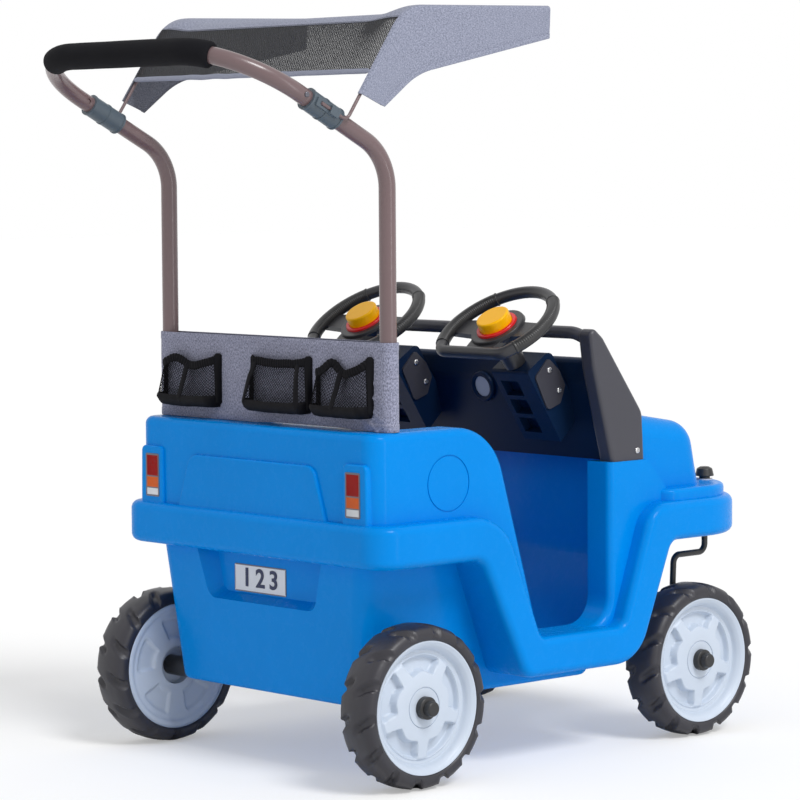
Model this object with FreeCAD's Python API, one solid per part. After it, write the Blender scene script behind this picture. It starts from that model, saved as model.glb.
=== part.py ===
import FreeCAD, Part
import math
import os

# Push-around car for two children, with a tube handle, sun canopy and caddy.
# Units are millimetres. +X is the way the car drives, +Y its left side, +Z up.
# The sizes below count X from the rear axle, and Z from a level that lies AXLE_Z under it.
# The last lines move the car to the middle of its length and set its tyres on Z = 0.

V = FreeCAD.Vector

# Wheels and axles
TYRE_R = 123.0
RIM_R = TYRE_R - 23.0
WHEEL_WIDTH = 66.0
AXLE_Z = 121.0
AXLE_R = 5.0
AXLE_PLAY = 0.05
FIT = 0.05
SLIP = 0.35
SOFT_GAP = 0.3
REAR_FACE_Y = 326.0
FRONT_FACE_Y = 293.5
WHEELBASE = 635.0
GROOVES = 14
GROOVE_DEPTH = 7.0
RIM_ARMS = 5
HUB_FACE = 9.0
STAR_SLOPE = 5.0
POCKET_DEPTH = 13.0
CAP_R = 17.0
CAP_TIP_R = 11.0
CAP_REACH = 13.0
HUB_WELL = 22.0
HUB_WELL_R = 30.0
SPACER_R = 16.0

# Body
SIDE_Y = 280.0
BAND_Y = 310.0
TUB_REAR = -62.0
TUB_TOP = 525.0
TUB_CORNER = 30.0
BAND_REAR = TUB_REAR - 15.0
BAND_FRONT = WHEELBASE + 121.0
BAND_LOW = AXLE_Z + 205.0
BAND_TOP = BAND_LOW + 65.0
BAND_EDGE = 13.0
ARCH_X = TYRE_R + 9.0
FRONT_LOW = BAND_LOW - 4.0
FRONT_TOP = FRONT_LOW + 62.0
SHELF_TOP = FRONT_TOP + 18.0
SHELF_INSET = 14.0
SILL_LOW = AXLE_Z + 16.0
SILL_TOP = SILL_LOW + 60.0
DOOR_TOP_X = 0.288 * WHEELBASE
DOOR_LOW_X = 0.44 * WHEELBASE
JAMB_X = WHEELBASE - 202.0
COWL_TOP = TUB_TOP - 73.0
COWL_FRONT = WHEELBASE - 117.0
HOOD_Y = SIDE_Y - 15.0
HOOD_REAR = COWL_FRONT - 1.0
HOOD_TOP = COWL_TOP + 71.0
FLOOR_LOW = AXLE_Z - 11.0
FLOOR_TOP = FLOOR_LOW + 50.0
BELLY_LOW_Y = SIDE_Y - 63.0
BELLY_TOP_Y = SIDE_Y - 37.0
BELLY_TOP = BAND_LOW + 4.0
KEEL_LOW = FRONT_LOW - 27.0
CABIN_Y = BELLY_TOP_Y - 13.0
SEAT_TOP = BAND_LOW - 26.0
SEAT_BACK_X = 12.0
SEAT_FRONT_X = 0.323 * WHEELBASE
TRIM_RAISE = 5.0
RECESS_DEPTH = 34.0

# Front casters
STEM_X = WHEELBASE + 82.0
STEM_Y = 219.0
CRANK_Z = FRONT_LOW - 38.0
ROD_BEND = 14.0
BUSH_R = 9.0
FLANGE_R = 13.0
FLANGE_T = 2.0
KNOB_R = 15.5
KNOB_H = 19.0

# Dash and steering
DASH_Y = SIDE_Y - 34.0
DASH_TOP = COWL_TOP + 163.0
POST_OUT_Y = SIDE_Y - 4.0
BAR_X = COWL_FRONT - 115.0
BAR_Z = COWL_TOP + 203.0
BAR_R = 10.0
STEER_X = COWL_FRONT - 207.0
STEER_Y = 154.0
STEER_Z = COWL_TOP + 212.6
STEER_TILT = 33.3
STEER_R = 95.0
STEER_FLAT = 68.0
STEER_TUBE_R = 9.5
HUB_R = 46.0
BUTTON_R = 27.0
BUTTON_GAP = 0.4
BUTTON_TOP = 22.0
BUTTON_TRAVEL = 4.0
RING_R = 34.0
SHAFT_R = 6.0
POD_HALF = 41.0
POD_TOP = 72.0
POD_FRONT = 42.0
POD_UNDER = 18.0
GAUGE_R = 17.0
GAUGE_RING_R = 25.0

# Handle, canopy and caddy
TUBE_R = 12.7
TUBE_WALL = 1.5
POLE_X = -12.0
POLE_Y = 257.0
POLE_FOOT_Z = TUB_TOP - 125.0
POLE_BEND = 80.0
SLEEVE_X = POLE_X - 127.0
SLEEVE_Z = 999.5
SLEEVE_R = 16.5
SLEEVE_LENGTH = 63.0
BEAD = 3.0
BEAD_RAISE = 0.8
CLIP_W = 14.0
HANDLE_RISE = 28.0
HANDLE_REACH = 177.0
HANDLE_STRAIGHT = 47.0
HANDLE_BEND = HANDLE_REACH - HANDLE_STRAIGHT
SNAP_AT = 43.0
SNAP_R = 4.0
SPIGOT_END = HANDLE_STRAIGHT + 5.0
FOAM_R = 20.0
FOAM_TURN = 27.0
WIRE_R = 2.6
WIRE_END = 18.0
WIRE_GAP = 1.2
WIRE_BEND = 12.0
CANOPY_RISE = 158.5
CANOPY_TOP_Z = SLEEVE_Z + CANOPY_RISE
CANOPY_BEND = 75.0
CANOPY_FALL = 6.0
CANOPY_SAG = 13.0
SAG_FROM_Y = 264.0
SAG_FULL_Y = 205.0
SHOULDER_R = 7.2
CLOTH = 2.4
CANOPY_Y = POLE_Y + 26.0
CANOPY_FRONT_X = 302.0
FLAP_DROP = 50.0
FLAP_SWEEP = 130.0
MESH_TOP_Z = CANOPY_TOP_Z - 34.0
MESH_LOW_Z = SLEEVE_Z + 53.5
MESH_T = 1.2
CADDY_SLACK = 8.0
CADDY_LOW = TUB_TOP + 2.0
CADDY_TOP = CADDY_LOW + 132.0
POCKETS = (("left", 181.0, 130.0), ("middle", -32.0, 134.0), ("right", -179.0, 116.0))
POCKET_LOW = CADDY_LOW + 18.0
POCKET_TOP = POCKET_LOW + 87.0
POCKET_DEEP = 26.0

SIDES = (("left", 1), ("right", -1))


# Helpers
def in_side(u, v):
    return V(u, 0, v)


def in_plan(u, v):
    return V(u, v, 0)


def in_front(u, v):
    return V(0, u, v)


NORMAL = {in_side: V(0, 1, 0), in_plan: V(0, 0, 1), in_front: V(1, 0, 0)}


def rounded(corners, place):
    """Closed wire through (u, v, radius) corners, placed in a plane."""
    stops = []
    for i, (u, v, radius) in enumerate(corners):
        here = V(u, v, 0)
        back = V(corners[i - 1][0], corners[i - 1][1], 0) - here
        following = corners[(i + 1) % len(corners)]
        ahead = V(following[0], following[1], 0) - here
        back.normalize()
        ahead.normalize()
        if radius == 0:
            stops.append((here, None, here))
            continue
        half = back.getAngle(ahead) / 2
        inward = back + ahead
        inward.normalize()
        middle = here + inward * (radius / math.sin(half) - radius)
        reach = radius / math.tan(half)
        stops.append((here + back * reach, middle, here + ahead * reach))
    edges = []
    for i, (start, middle, end) in enumerate(stops):
        last = stops[i - 1][2]
        if (start - last).Length > 1e-6:
            edges.append(Part.makeLine(place(last.x, last.y), place(start.x, start.y)))
        if middle:
            points = [place(p.x, p.y) for p in (start, middle, end)]
            edges.append(Part.Arc(*points).toShape())
    return Part.Wire(edges)


def prism(corners, place, low, high):
    """Solid between two heights along the normal of the outline's plane."""
    face = Part.Face(rounded(corners, place))
    face.translate(NORMAL[place] * low)
    return face.extrude(NORMAL[place] * (high - low))


def bent(points, radii):
    """Open wire through 3-D points, with one bend radius for each inner corner."""
    edges = []
    last = points[0]
    for i, radius in enumerate(radii, 1):
        here = points[i]
        back = (points[i - 1] - here).normalize()
        ahead = (points[i + 1] - here).normalize()
        half = back.getAngle(ahead) / 2
        inward = (back + ahead).normalize()
        start = here + back * (radius / math.tan(half))
        end = here + ahead * (radius / math.tan(half))
        edges.append(Part.makeLine(last, start))
        edges.append(Part.Arc(start, here + inward * (radius / math.sin(half) - radius), end).toShape())
        last = end
    edges.append(Part.makeLine(last, points[-1]))
    return Part.Wire(edges)


def rod(path, radius):
    """Round bar along a wire."""
    edge = path.OrderedEdges[0]
    start = edge.valueAt(edge.FirstParameter)
    along = edge.tangentAt(edge.FirstParameter)
    circle = Part.Wire([Part.makeCircle(radius, start, along)])
    return path.makePipeShell([circle], True, False)


def turned(outline, axis=V(0, 0, 1)):
    """Solid of revolution from (radius, height) corners about local Z."""
    face = Part.Face(rounded(outline, in_side))
    return face.revolve(V(0, 0, 0), axis, 360)


def cylinder(radius, start, along, length):
    return Part.makeCylinder(radius, length, start, along)


def ring(outer, inner, start, along, length):
    return cylinder(outer, start, along, length).cut(cylinder(inner, start, along, length))


def fillet(shape, radius, wanted):
    return shape.makeFillet(radius, [edge for edge in shape.Edges if wanted(edge)])


def fuse(shapes):
    return shapes[0].multiFuse(shapes[1:]).removeSplitter()


def near(value, target):
    return abs(value - target) < 0.01


# Body
def tub_and_cowl():
    """Side walls from the rear tub, round the door cut-out, to the cowl."""
    outline = [
        (TUB_REAR, BAND_LOW, 0), (TUB_REAR, TUB_TOP, 0), (DOOR_TOP_X, TUB_TOP, 96),
        (DOOR_LOW_X, SILL_TOP, 20), (JAMB_X, SILL_TOP, 45), (JAMB_X, COWL_TOP, 0),
        (COWL_FRONT, COWL_TOP, 0), (COWL_FRONT + 60, FRONT_TOP, 0), (COWL_FRONT + 28, FRONT_LOW, 0),
        (JAMB_X + 33, SILL_LOW + 6, 0), (DOOR_LOW_X - 49, SILL_LOW + 6, 0), (ARCH_X + 8, BAND_LOW, 0),
    ]
    block = prism(outline, in_side, -SIDE_Y, SIDE_Y)

    def rear_corner(edge):
        box = edge.BoundBox
        return near(box.XLength, 0) and near(box.YLength, 0) and near(box.XMin, TUB_REAR)

    block = fillet(block, TUB_CORNER, rear_corner)

    def outer_edge(edge):
        box = edge.BoundBox
        centre = edge.CenterOfMass
        if near(box.YLength, 2 * SIDE_Y):
            return False
        on_rim = near(box.ZMin, TUB_TOP) and near(box.ZMax, TUB_TOP) and centre.x < DOOR_TOP_X
        on_side = near(abs(centre.y), SIDE_Y) and near(box.YLength, 0)
        upper = centre.z > SILL_TOP - 1 and centre.x < JAMB_X + 1 and box.ZMax > SILL_TOP + 0.5
        sill = near(box.ZMin, SILL_TOP) and near(box.ZMax, SILL_TOP)
        rear = near(centre.x, TUB_REAR) or centre.z < TUB_TOP - 1 and centre.x < TUB_REAR + TUB_CORNER + 1
        return on_rim or on_side and (upper or sill) and not rear

    return fillet(block, 12, outer_edge)


def fender_band():
    """Ribbon that wraps the bumpers, both wheel arches and the running boards."""
    outline = [
        (BAND_REAR, BAND_LOW, 0), (ARCH_X, BAND_LOW, 25), (DOOR_LOW_X - 57, SILL_LOW, 27),
        (JAMB_X + 39, SILL_LOW, 72),
        (JAMB_X + 115, FRONT_LOW, 22), (BAND_FRONT, FRONT_LOW, 0), (BAND_FRONT, FRONT_TOP, 0),
        (JAMB_X + 69, FRONT_TOP, 56), (JAMB_X + 2, SILL_TOP, 20), (DOOR_LOW_X - 23, SILL_TOP, 20),
        (DOOR_TOP_X - 4, BAND_TOP, 85), (BAND_REAR, BAND_TOP, 0),
    ]
    block = prism(outline, in_side, -BAND_Y, BAND_Y)

    def upright(x):
        def test(edge):
            box = edge.BoundBox
            return near(box.XLength, 0) and near(box.YLength, 0) and near(box.XMin, x)
        return test

    block = fillet(block, 45, upright(BAND_REAR))
    block = fillet(block, 118, upright(BAND_FRONT))

    def outer_edge(edge):
        box = edge.BoundBox
        if near(box.YLength, 2 * BAND_Y):
            return False
        return near(box.ZLength, 0) or near(abs(edge.CenterOfMass.y), BAND_Y)

    def sharp(edge):
        box = edge.BoundBox
        upright_seam = box.XLength < 0.01 and box.YLength < 0.01
        return outer_edge(edge) and not upright_seam

    return fillet(block, BAND_EDGE, sharp)


def belly_y(z):
    """Half width of the lower body at height z."""
    return BELLY_LOW_Y + (BELLY_TOP_Y - BELLY_LOW_Y) * (z - FLOOR_LOW) / (BELLY_TOP - FLOOR_LOW)


def lower_box():
    """Tapered lower body between the wheels."""
    def level(rear, front, y, z):
        wire = rounded([(rear, -y, 25), (front, -y, 25), (front, y, 25), (rear, y, 25)], in_plan)
        wire.translate(V(0, 0, z))
        return wire

    low = level(TUB_REAR + 27, JAMB_X + 22, BELLY_LOW_Y, FLOOR_LOW)
    top = level(TUB_REAR + 10, JAMB_X + 47, BELLY_TOP_Y, BELLY_TOP)
    block = Part.makeLoft([low, top], True, True)

    def bottom(edge):
        return near(edge.BoundBox.ZMax, FLOOR_LOW)

    return fillet(block, 12, bottom)


def hood():
    outline = [(HOOD_REAR, FRONT_LOW + 8, 0), (HOOD_REAR, HOOD_TOP, 0), (HOOD_REAR + 131, HOOD_TOP - 22, 48),
               (HOOD_REAR + 169, FRONT_LOW + 8, 0)]
    block = prism(outline, in_side, -HOOD_Y, HOOD_Y)

    def side_edge(edge):
        box = edge.BoundBox
        return near(box.YLength, 0) and box.XMax > HOOD_REAR + 1 and box.ZMax > FRONT_LOW + 9

    return fillet(block, 34, side_edge)


def shelf():
    """Raised step on the front fenders, ahead of the hood."""
    y = BAND_Y - SHELF_INSET
    x = BAND_FRONT - SHELF_INSET
    rear = JAMB_X + 112
    corners = [(rear, -y, 30), (x, -y, 104), (x, y, 104), (rear, y, 30)]
    block = prism(corners, in_plan, FRONT_TOP - 20, SHELF_TOP)

    def top(edge):
        return near(edge.BoundBox.ZMin, SHELF_TOP)

    return fillet(block, 7, top)


def rear_trim():
    """Raised tailgate panel and tail light pads on the rear face."""
    face = TUB_REAR - TRIM_RAISE
    low = BAND_TOP - 10
    panel_top = TUB_TOP - 53
    pad_top = TUB_TOP - 45
    panel = prism([(-178, low, 0), (178, low, 0), (147, panel_top, 22), (-147, panel_top, 22)],
                  in_front, face, TUB_REAR + 5)
    pads = [prism([(s * 212, low, 0), (s * 268, low, 0), (s * 266, pad_top, 9), (s * 214, pad_top, 9)],
                  in_front, face, TUB_REAR + 30) for _, s in SIDES]

    def outer(edge):
        box = edge.BoundBox
        return near(box.XLength, 0) and near(box.XMin, face) and box.ZMax > BAND_TOP

    return [fillet(block, 3.5, outer) for block in [panel] + pads]


RECESS_X = TUB_REAR + 36


def plate_recess():
    """Sloped recess under the bumper that holds the number plate."""
    high = BAND_LOW + 9

    def level(x, top_y, low_y, low_z, corner):
        corners = [(-top_y, high, 0), (top_y, high, 0), (low_y, low_z, corner), (-low_y, low_z, corner)]
        wire = rounded(corners, in_front)
        wire.translate(V(x, 0, 0))
        return wire

    mouth = level(RECESS_X - RECESS_DEPTH, 156, 134, high - 94, 22)
    floor = level(RECESS_X, 130, 112, high - 76, 18)
    return Part.makeLoft([mouth, floor], True, True)


def body_shell():
    shapes = [fender_band(), tub_and_cowl(), lower_box(), hood(), shelf()]
    keel = prism([(HOOD_REAR + 13, KEEL_LOW, 10), (HOOD_REAR + 173, KEEL_LOW, 10),
                  (HOOD_REAR + 198, FRONT_LOW + 5, 0), (HOOD_REAR + 13, FRONT_LOW + 5, 0)],
                 in_side, -170, 170)
    shell = fuse(shapes + [keel] + rear_trim())

    cabin = prism([
        (SEAT_BACK_X, DASH_TOP, 0), (SEAT_BACK_X + 11, SEAT_TOP, 25), (SEAT_FRONT_X, SEAT_TOP, 25),
        (SEAT_FRONT_X + 17, FLOOR_TOP, 25), (JAMB_X + 12, FLOOR_TOP, 25), (HOOD_REAR - 8, SEAT_TOP, 40),
        (HOOD_REAR - 8, DASH_TOP, 0)], in_side, -CABIN_Y, CABIN_Y)

    def upright(edge):
        box = edge.BoundBox
        return near(box.YLength, 0) and box.XMax < SEAT_BACK_X + 15 and box.ZLength > 100

    cabin = fillet(cabin, 30, upright)
    doorway = prism([(DOOR_TOP_X, TUB_TOP, 0), (DOOR_LOW_X, SILL_TOP, 20), (JAMB_X, SILL_TOP, 45),
                     (JAMB_X, TUB_TOP, 0)], in_side, -BELLY_TOP_Y, BELLY_TOP_Y)
    tools = [cabin, doorway, plate_recess()]
    tools.append(cylinder(AXLE_R + FIT, V(0, -BAND_Y, AXLE_Z), V(0, 1, 0), 2 * BAND_Y))
    for _, s in SIDES:
        tools.append(cylinder(TUBE_R + FIT, V(POLE_X, s * POLE_Y, POLE_FOOT_Z), V(0, 0, 1), 200))
        tools.append(cylinder(BUSH_R + FIT, V(STEM_X, s * STEM_Y, KEEL_LOW), V(0, 0, 1), 200))
    fuel_cap = ring(43, 41, V(86, -SIDE_Y - 1, TUB_TOP - 81), V(0, 1, 0), 2.4)
    return shell.cut(tools + [fuel_cap])


def rear_face_trims():
    """Plain number plate and tail light strips."""
    plate_low = BAND_LOW - 65
    plate_high = plate_low + 43
    corners = [(-37, plate_low, 3), (86, plate_low, 3), (86, plate_high, 3), (-37, plate_high, 3)]
    parts = {"number_plate": prism(corners, in_front, RECESS_X - 1.2, RECESS_X)}
    face = TUB_REAR - TRIM_RAISE
    low_z = TUB_TOP - 125
    high_z = TUB_TOP - 57
    for name, s in SIDES:
        low, high = sorted((s * 221, s * 254))
        corners = [(low, low_z, 3), (high, low_z, 3), (high, high_z, 3), (low, high_z, 3)]
        parts["tail_light_" + name] = prism(corners, in_front, face - 1, face)
    return parts


# Wheels: built about local Z, outward face at Z = 0
def tyre():
    shape = turned([
        (RIM_R, -WHEEL_WIDTH + 1, 0), (RIM_R, -1, 0), (TYRE_R - 13, 0, 4), (TYRE_R - 3, -8, 6),
        (TYRE_R, -WHEEL_WIDTH / 2, 0), (TYRE_R - 3, -WHEEL_WIDTH + 8, 6), (TYRE_R - 13, -WHEEL_WIDTH, 4)])
    tools = []
    step = 360 / GROOVES
    for k in range(GROOVES):
        for flip in (0, 1):
            wedge = prism([(TYRE_R - GROOVE_DEPTH, -4, 0), (TYRE_R + 9, -8, 0), (TYRE_R + 9, 8, 0),
                           (TYRE_R - GROOVE_DEPTH, 4, 0)], in_plan, 0, WHEEL_WIDTH / 2 - 6)
            wedge.rotate(V(TYRE_R, 0, 0), V(1, 0, 0), 24 if flip else -24)
            if flip:
                wedge.translate(V(0, 0, -WHEEL_WIDTH - 2))
            else:
                wedge.translate(V(0, 0, 8 - WHEEL_WIDTH / 2))
            wedge.rotate(V(0, 0, 0), V(0, 0, 1), (k + flip / 2) * step)
            tools.append(wedge)
    return shape.cut(tools)


def rim():
    """Dished rim with a star of arms, one of them straight down."""
    star_r = RIM_R - 24
    back = -WHEEL_WIDTH + 7
    shape = turned([
        (AXLE_R + AXLE_PLAY, -HUB_FACE, 0), (HUB_WELL_R, -HUB_FACE, 0), (star_r, -HUB_FACE - STAR_SLOPE, 0),
        (star_r + 5, -HUB_FACE - STAR_SLOPE - 5, 3), (RIM_R - 4, -2, 3), (RIM_R, -1.5, 0),
        (RIM_R, -WHEEL_WIDTH + 2, 0), (RIM_R - 6, -WHEEL_WIDTH + 3, 3), (RIM_R - 12, back, 3),
        (HUB_WELL_R, back, 0), (HUB_WELL_R, -WHEEL_WIDTH + HUB_WELL, 0),
        (AXLE_R + AXLE_PLAY, -WHEEL_WIDTH + HUB_WELL, 0)])
    tools = [ring(HUB_WELL_R - 2, HUB_WELL_R - 3.4, V(0, 0, -HUB_FACE - 1), V(0, 0, 1), 2)]
    front_in = HUB_WELL_R + 20
    back_in = HUB_WELL_R + 14
    for k in range(RIM_ARMS):
        pocket = prism([(front_in, -22, 4), (star_r, -36, 7), (star_r + 6, 0, 60), (star_r, 36, 7),
                        (front_in, 22, 4)], in_plan, -HUB_FACE - POCKET_DEPTH - STAR_SLOPE, 0)
        hollow = prism([(back_in, -17, 6), (star_r, -30, 8), (star_r + 3, 0, 50), (star_r, 30, 8),
                        (back_in, 17, 6)], in_plan, -WHEEL_WIDTH, back + 5)
        for tool in (pocket, hollow):
            tool.rotate(V(0, 0, 0), V(0, 0, 1), k * 360 / RIM_ARMS - 90)
            tools.append(tool)
    return shape.cut(tools)


def hub_cap():
    """Black cap pressed on the axle end."""
    base = -HUB_FACE + SOFT_GAP
    return turned([
        (AXLE_R + FIT, base, 0), (CAP_R, base, 0), (CAP_R, 1, 2), (CAP_TIP_R + 1, 2, 0),
        (CAP_TIP_R, CAP_REACH, 3), (0, CAP_REACH, 0), (0, CAP_REACH - 8, 0),
        (AXLE_R + FIT, CAP_REACH - 8, 0)])


def stand_wheel(shape, x, y, s):
    """Turn local +Z outward, to the car's left or right, and place the outer face at y."""
    copy = shape.copy()
    copy.rotate(V(0, 0, 0), V(1, 0, 0), -90 * s)
    if s < 0:
        copy.rotate(V(0, 0, 0), V(0, 1, 0), 180)
    copy.translate(V(x, s * y, AXLE_Z))
    return copy


def wheels():
    parts = {}
    shapes = {"tyre": tyre(), "rim": rim(), "hub_cap": hub_cap()}
    for end, x, y in (("rear", 0, REAR_FACE_Y), ("front", WHEELBASE, FRONT_FACE_Y)):
        for name, s in SIDES:
            for kind, shape in shapes.items():
                parts[kind + "_" + end + "_" + name] = stand_wheel(shape, x, y, s)
    return parts


def rear_axle():
    reach = REAR_FACE_Y + CAP_REACH - 8
    parts = {"rear_axle": cylinder(AXLE_R, V(0, -reach, AXLE_Z), V(0, 1, 0), 2 * reach)}
    start = belly_y(AXLE_Z + SPACER_R) + SOFT_GAP
    end = REAR_FACE_Y - WHEEL_WIDTH + HUB_WELL - SOFT_GAP
    for name, s in SIDES:
        foot = V(0, s * start, AXLE_Z)
        parts["axle_spacer_" + name] = ring(SPACER_R, AXLE_R + FIT, foot, V(0, s, 0), end - start)
    return parts


def casters():
    parts = {}
    stem_top = SHELF_TOP + FLANGE_T + 12
    for name, s in SIDES:
        y = s * STEM_Y
        end = s * (FRONT_FACE_Y + CAP_REACH - 8)
        path = bent([V(STEM_X, y, stem_top), V(STEM_X, y, CRANK_Z), V(WHEELBASE + 8, y, CRANK_Z),
                     V(WHEELBASE, y, AXLE_Z), V(WHEELBASE, end, AXLE_Z)], [ROD_BEND] * 3)
        collar = cylinder(BUSH_R, V(STEM_X, y, FRONT_LOW - SOFT_GAP), V(0, 0, -1), 4)
        hub_floor = s * (FRONT_FACE_Y - WHEEL_WIDTH + HUB_WELL - SOFT_GAP)
        stop = cylinder(BUSH_R, V(WHEELBASE, hub_floor, AXLE_Z), V(0, -s, 0), HUB_WELL - 9)
        parts["caster_rod_" + name] = fuse([rod(path, AXLE_R), collar, stop])
        bore = cylinder(AXLE_R + AXLE_PLAY, V(STEM_X, y, KEEL_LOW), V(0, 0, 1), 200)
        bush = cylinder(BUSH_R, V(STEM_X, y, FRONT_LOW), V(0, 0, 1), SHELF_TOP - FRONT_LOW)
        flange = cylinder(FLANGE_R, V(STEM_X, y, SHELF_TOP), V(0, 0, 1), FLANGE_T)
        parts["caster_bush_" + name] = bush.fuse(flange).cut(bore)
        base = SHELF_TOP + FLANGE_T + SOFT_GAP
        knob = turned([(0, 0, 0), (9, 0, 0), (9, 3, 0), (KNOB_R, 4, 1), (KNOB_R - 3, KNOB_H - 3, 3),
                       (7, KNOB_H, 3), (0, KNOB_H, 0)])
        knob.translate(V(STEM_X, y, base))
        parts["caster_knob_" + name] = knob.cut(cylinder(AXLE_R + FIT, V(STEM_X, y, base), V(0, 0, 1),
                                                         stem_top - base))
    return parts


# Dash and steering: local Z runs up the steering column from the rim's plane, local X forward
def column_place(s):
    return FreeCAD.Placement(V(STEER_X, s * STEER_Y, STEER_Z), FreeCAD.Rotation(V(0, 1, 0), -STEER_TILT))


def placed(shape, placement):
    copy = shape.copy()
    copy.Placement = placement.multiply(copy.Placement)
    return copy


DASH_FACE = ((COWL_FRONT - 63, COWL_TOP + 1), (COWL_FRONT - 92, COWL_TOP + 123))


def dash_console():
    outline = [DASH_FACE[0] + (0,), DASH_FACE[1] + (30,), (COWL_FRONT - 88, DASH_TOP, 10),
               (COWL_FRONT - 52, DASH_TOP - 4, 14), (HOOD_REAR, HOOD_TOP, 0), (HOOD_REAR, COWL_TOP + 1, 0)]
    shapes = [prism(outline, in_side, -DASH_Y, DASH_Y)]
    tools = []
    for _, s in SIDES:
        pod = prism([(-POD_UNDER, -POD_TOP, 6), (POD_FRONT, -POD_TOP, 12), (POD_FRONT, -196, 0),
                     (-POD_UNDER, -207, 0)], in_side, -POD_HALF, POD_HALF)
        shapes.append(placed(pod, column_place(s)))
        for k in range(3):
            high = -92 - 36 * k
            slot = prism([(-POD_UNDER - 1, high - 28, 0), (-POD_UNDER + 14, high - 28, 0),
                          (-POD_UNDER + 14, high, 0), (-POD_UNDER - 1, high, 0)], in_side, -8, 30)
            tools.append(placed(slot, column_place(s)))
        bore = cylinder(SHAFT_R + AXLE_PLAY, V(0, 0, -POD_TOP - 45), V(0, 0, 1), 60)
        tools.append(placed(bore, column_place(s)))
    return fuse(shapes).cut(tools)


def windshield_frame():
    inner = DASH_Y
    outline = [(BAR_X + 39, COWL_TOP, 0), (COWL_FRONT - 2, COWL_TOP, 0), (COWL_FRONT - 6, HOOD_TOP + 4, 30),
               (BAR_X + 21, BAR_Z - 7, 30), (BAR_X + 1, BAR_Z + 9, 8), (BAR_X - 9, BAR_Z, 8),
               (BAR_X - 1, BAR_Z - 55, 60)]
    shapes = []

    def outer(edge):
        box = edge.BoundBox
        return near(box.YLength, 0) and box.ZMax > COWL_TOP + 1

    for _, s in SIDES:
        low, high = sorted((s * inner, s * POST_OUT_Y))
        shapes.append(fillet(prism(outline, in_side, low, high), 7, outer))
    middle = (inner + POST_OUT_Y) / 2
    foot = (BAR_X + 43, BAR_Z - 65)
    path = bent([V(foot[0], -middle, foot[1]), V(BAR_X, -middle, BAR_Z), V(BAR_X, middle, BAR_Z),
                 V(foot[0], middle, foot[1])], [38, 38])
    shapes.append(rod(path, BAR_R))
    return fuse(shapes)


PLATE = [(30, -79, 6), (-10, -88, 6), (-16, -147, 8), (13, -154, 6), (37, -136, 6), (39, -109, 6)]
PLATE_T = 3.0
PLATE_SCREWS = ((21, -96), (21, -135))


def screw(at, along):
    """Pan head with a short shank."""
    head = turned([(0, 0, 0), (3.8, 0, 0), (3.8, 1.2, 1), (0, 2.2, 0)])
    shank = cylinder(1.8, V(0, 0, 0), V(0, 0, -1), 6)
    shape = head.fuse(shank)
    shape.Placement = FreeCAD.Placement(at, FreeCAD.Rotation(V(0, 0, 1), along))
    return shape


def dash_trims():
    parts = {}
    screws = []
    for name, s in SIDES:
        plate = prism(PLATE, in_side, -POD_HALF - PLATE_T, -POD_HALF)
        holes = [cylinder(1.8, V(x, -POD_HALF, z), V(0, -1, 0), PLATE_T) for x, z in PLATE_SCREWS]
        parts["dash_plate_" + name] = placed(plate.cut(holes), column_place(s))
        screws += [placed(screw(V(x, -POD_HALF - PLATE_T, z), V(0, -1, 0)), column_place(s))
                   for x, z in PLATE_SCREWS]
        screws.append(screw(V(COWL_FRONT - 20, s * POST_OUT_Y, COWL_TOP + 15), V(0, s, 0)))
    along = V(DASH_FACE[1][0] - DASH_FACE[0][0], 0, DASH_FACE[1][1] - DASH_FACE[0][1])
    out = V(-along.z, 0, along.x).normalize()
    z = COWL_TOP + 108
    x = DASH_FACE[0][0] + along.x * (z - DASH_FACE[0][1]) / along.z
    turn = FreeCAD.Placement(V(x, 0, z), FreeCAD.Rotation(V(0, 0, 1), out))
    bezel = turned([(GAUGE_R, 0, 0), (GAUGE_RING_R, 0, 0), (GAUGE_RING_R, 7, 3), (GAUGE_R, 5, 1)])
    parts["gauge_ring"] = placed(bezel, turn)
    parts["gauge_disc"] = placed(cylinder(GAUGE_R, V(0, 0, 0), V(0, 0, 1), 3), turn)
    parts["dash_screws"] = Part.makeCompound(screws)
    return parts


def dash_holes(console, frame, screws):
    """Screw holes in the console and the posts, from the screws themselves."""
    return console.cut(screws), frame.cut(screws)


def steering_rim():
    """Round rim with a flat side towards the driver."""
    small = 22.0
    inset = STEER_R - small
    low = -STEER_FLAT + small
    wide = math.sqrt(inset ** 2 - low ** 2)
    scale = STEER_R / inset
    tip = (wide * scale, low * scale)
    mid_angle = (math.atan2(low, wide) - math.pi / 2) / 2
    knee = (wide + small * math.cos(mid_angle), low + small * math.sin(mid_angle))

    def at(v, u):
        return V(u, v, 0)

    flat = Part.makeLine(at(-wide, -STEER_FLAT), at(wide, -STEER_FLAT))
    first = Part.Arc(at(wide, -STEER_FLAT), at(*knee), at(*tip)).toShape()
    right = Part.Arc(at(*tip), at(STEER_R * math.cos(0.4), STEER_R * math.sin(0.4)),
                     at(0, STEER_R)).toShape()
    left = Part.Arc(at(0, STEER_R), at(-STEER_R * math.cos(0.4), STEER_R * math.sin(0.4)),
                    at(-tip[0], tip[1])).toShape()
    last = Part.Arc(at(-tip[0], tip[1]), at(-knee[0], knee[1]), at(-wide, -STEER_FLAT)).toShape()
    return rod(Part.Wire([flat, first, right, left, last]), STEER_TUBE_R)


HUB_LOW = -16.0
HUB_TOP = 2.0
RING_TOP = 6.0
WELL = -9.0


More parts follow.
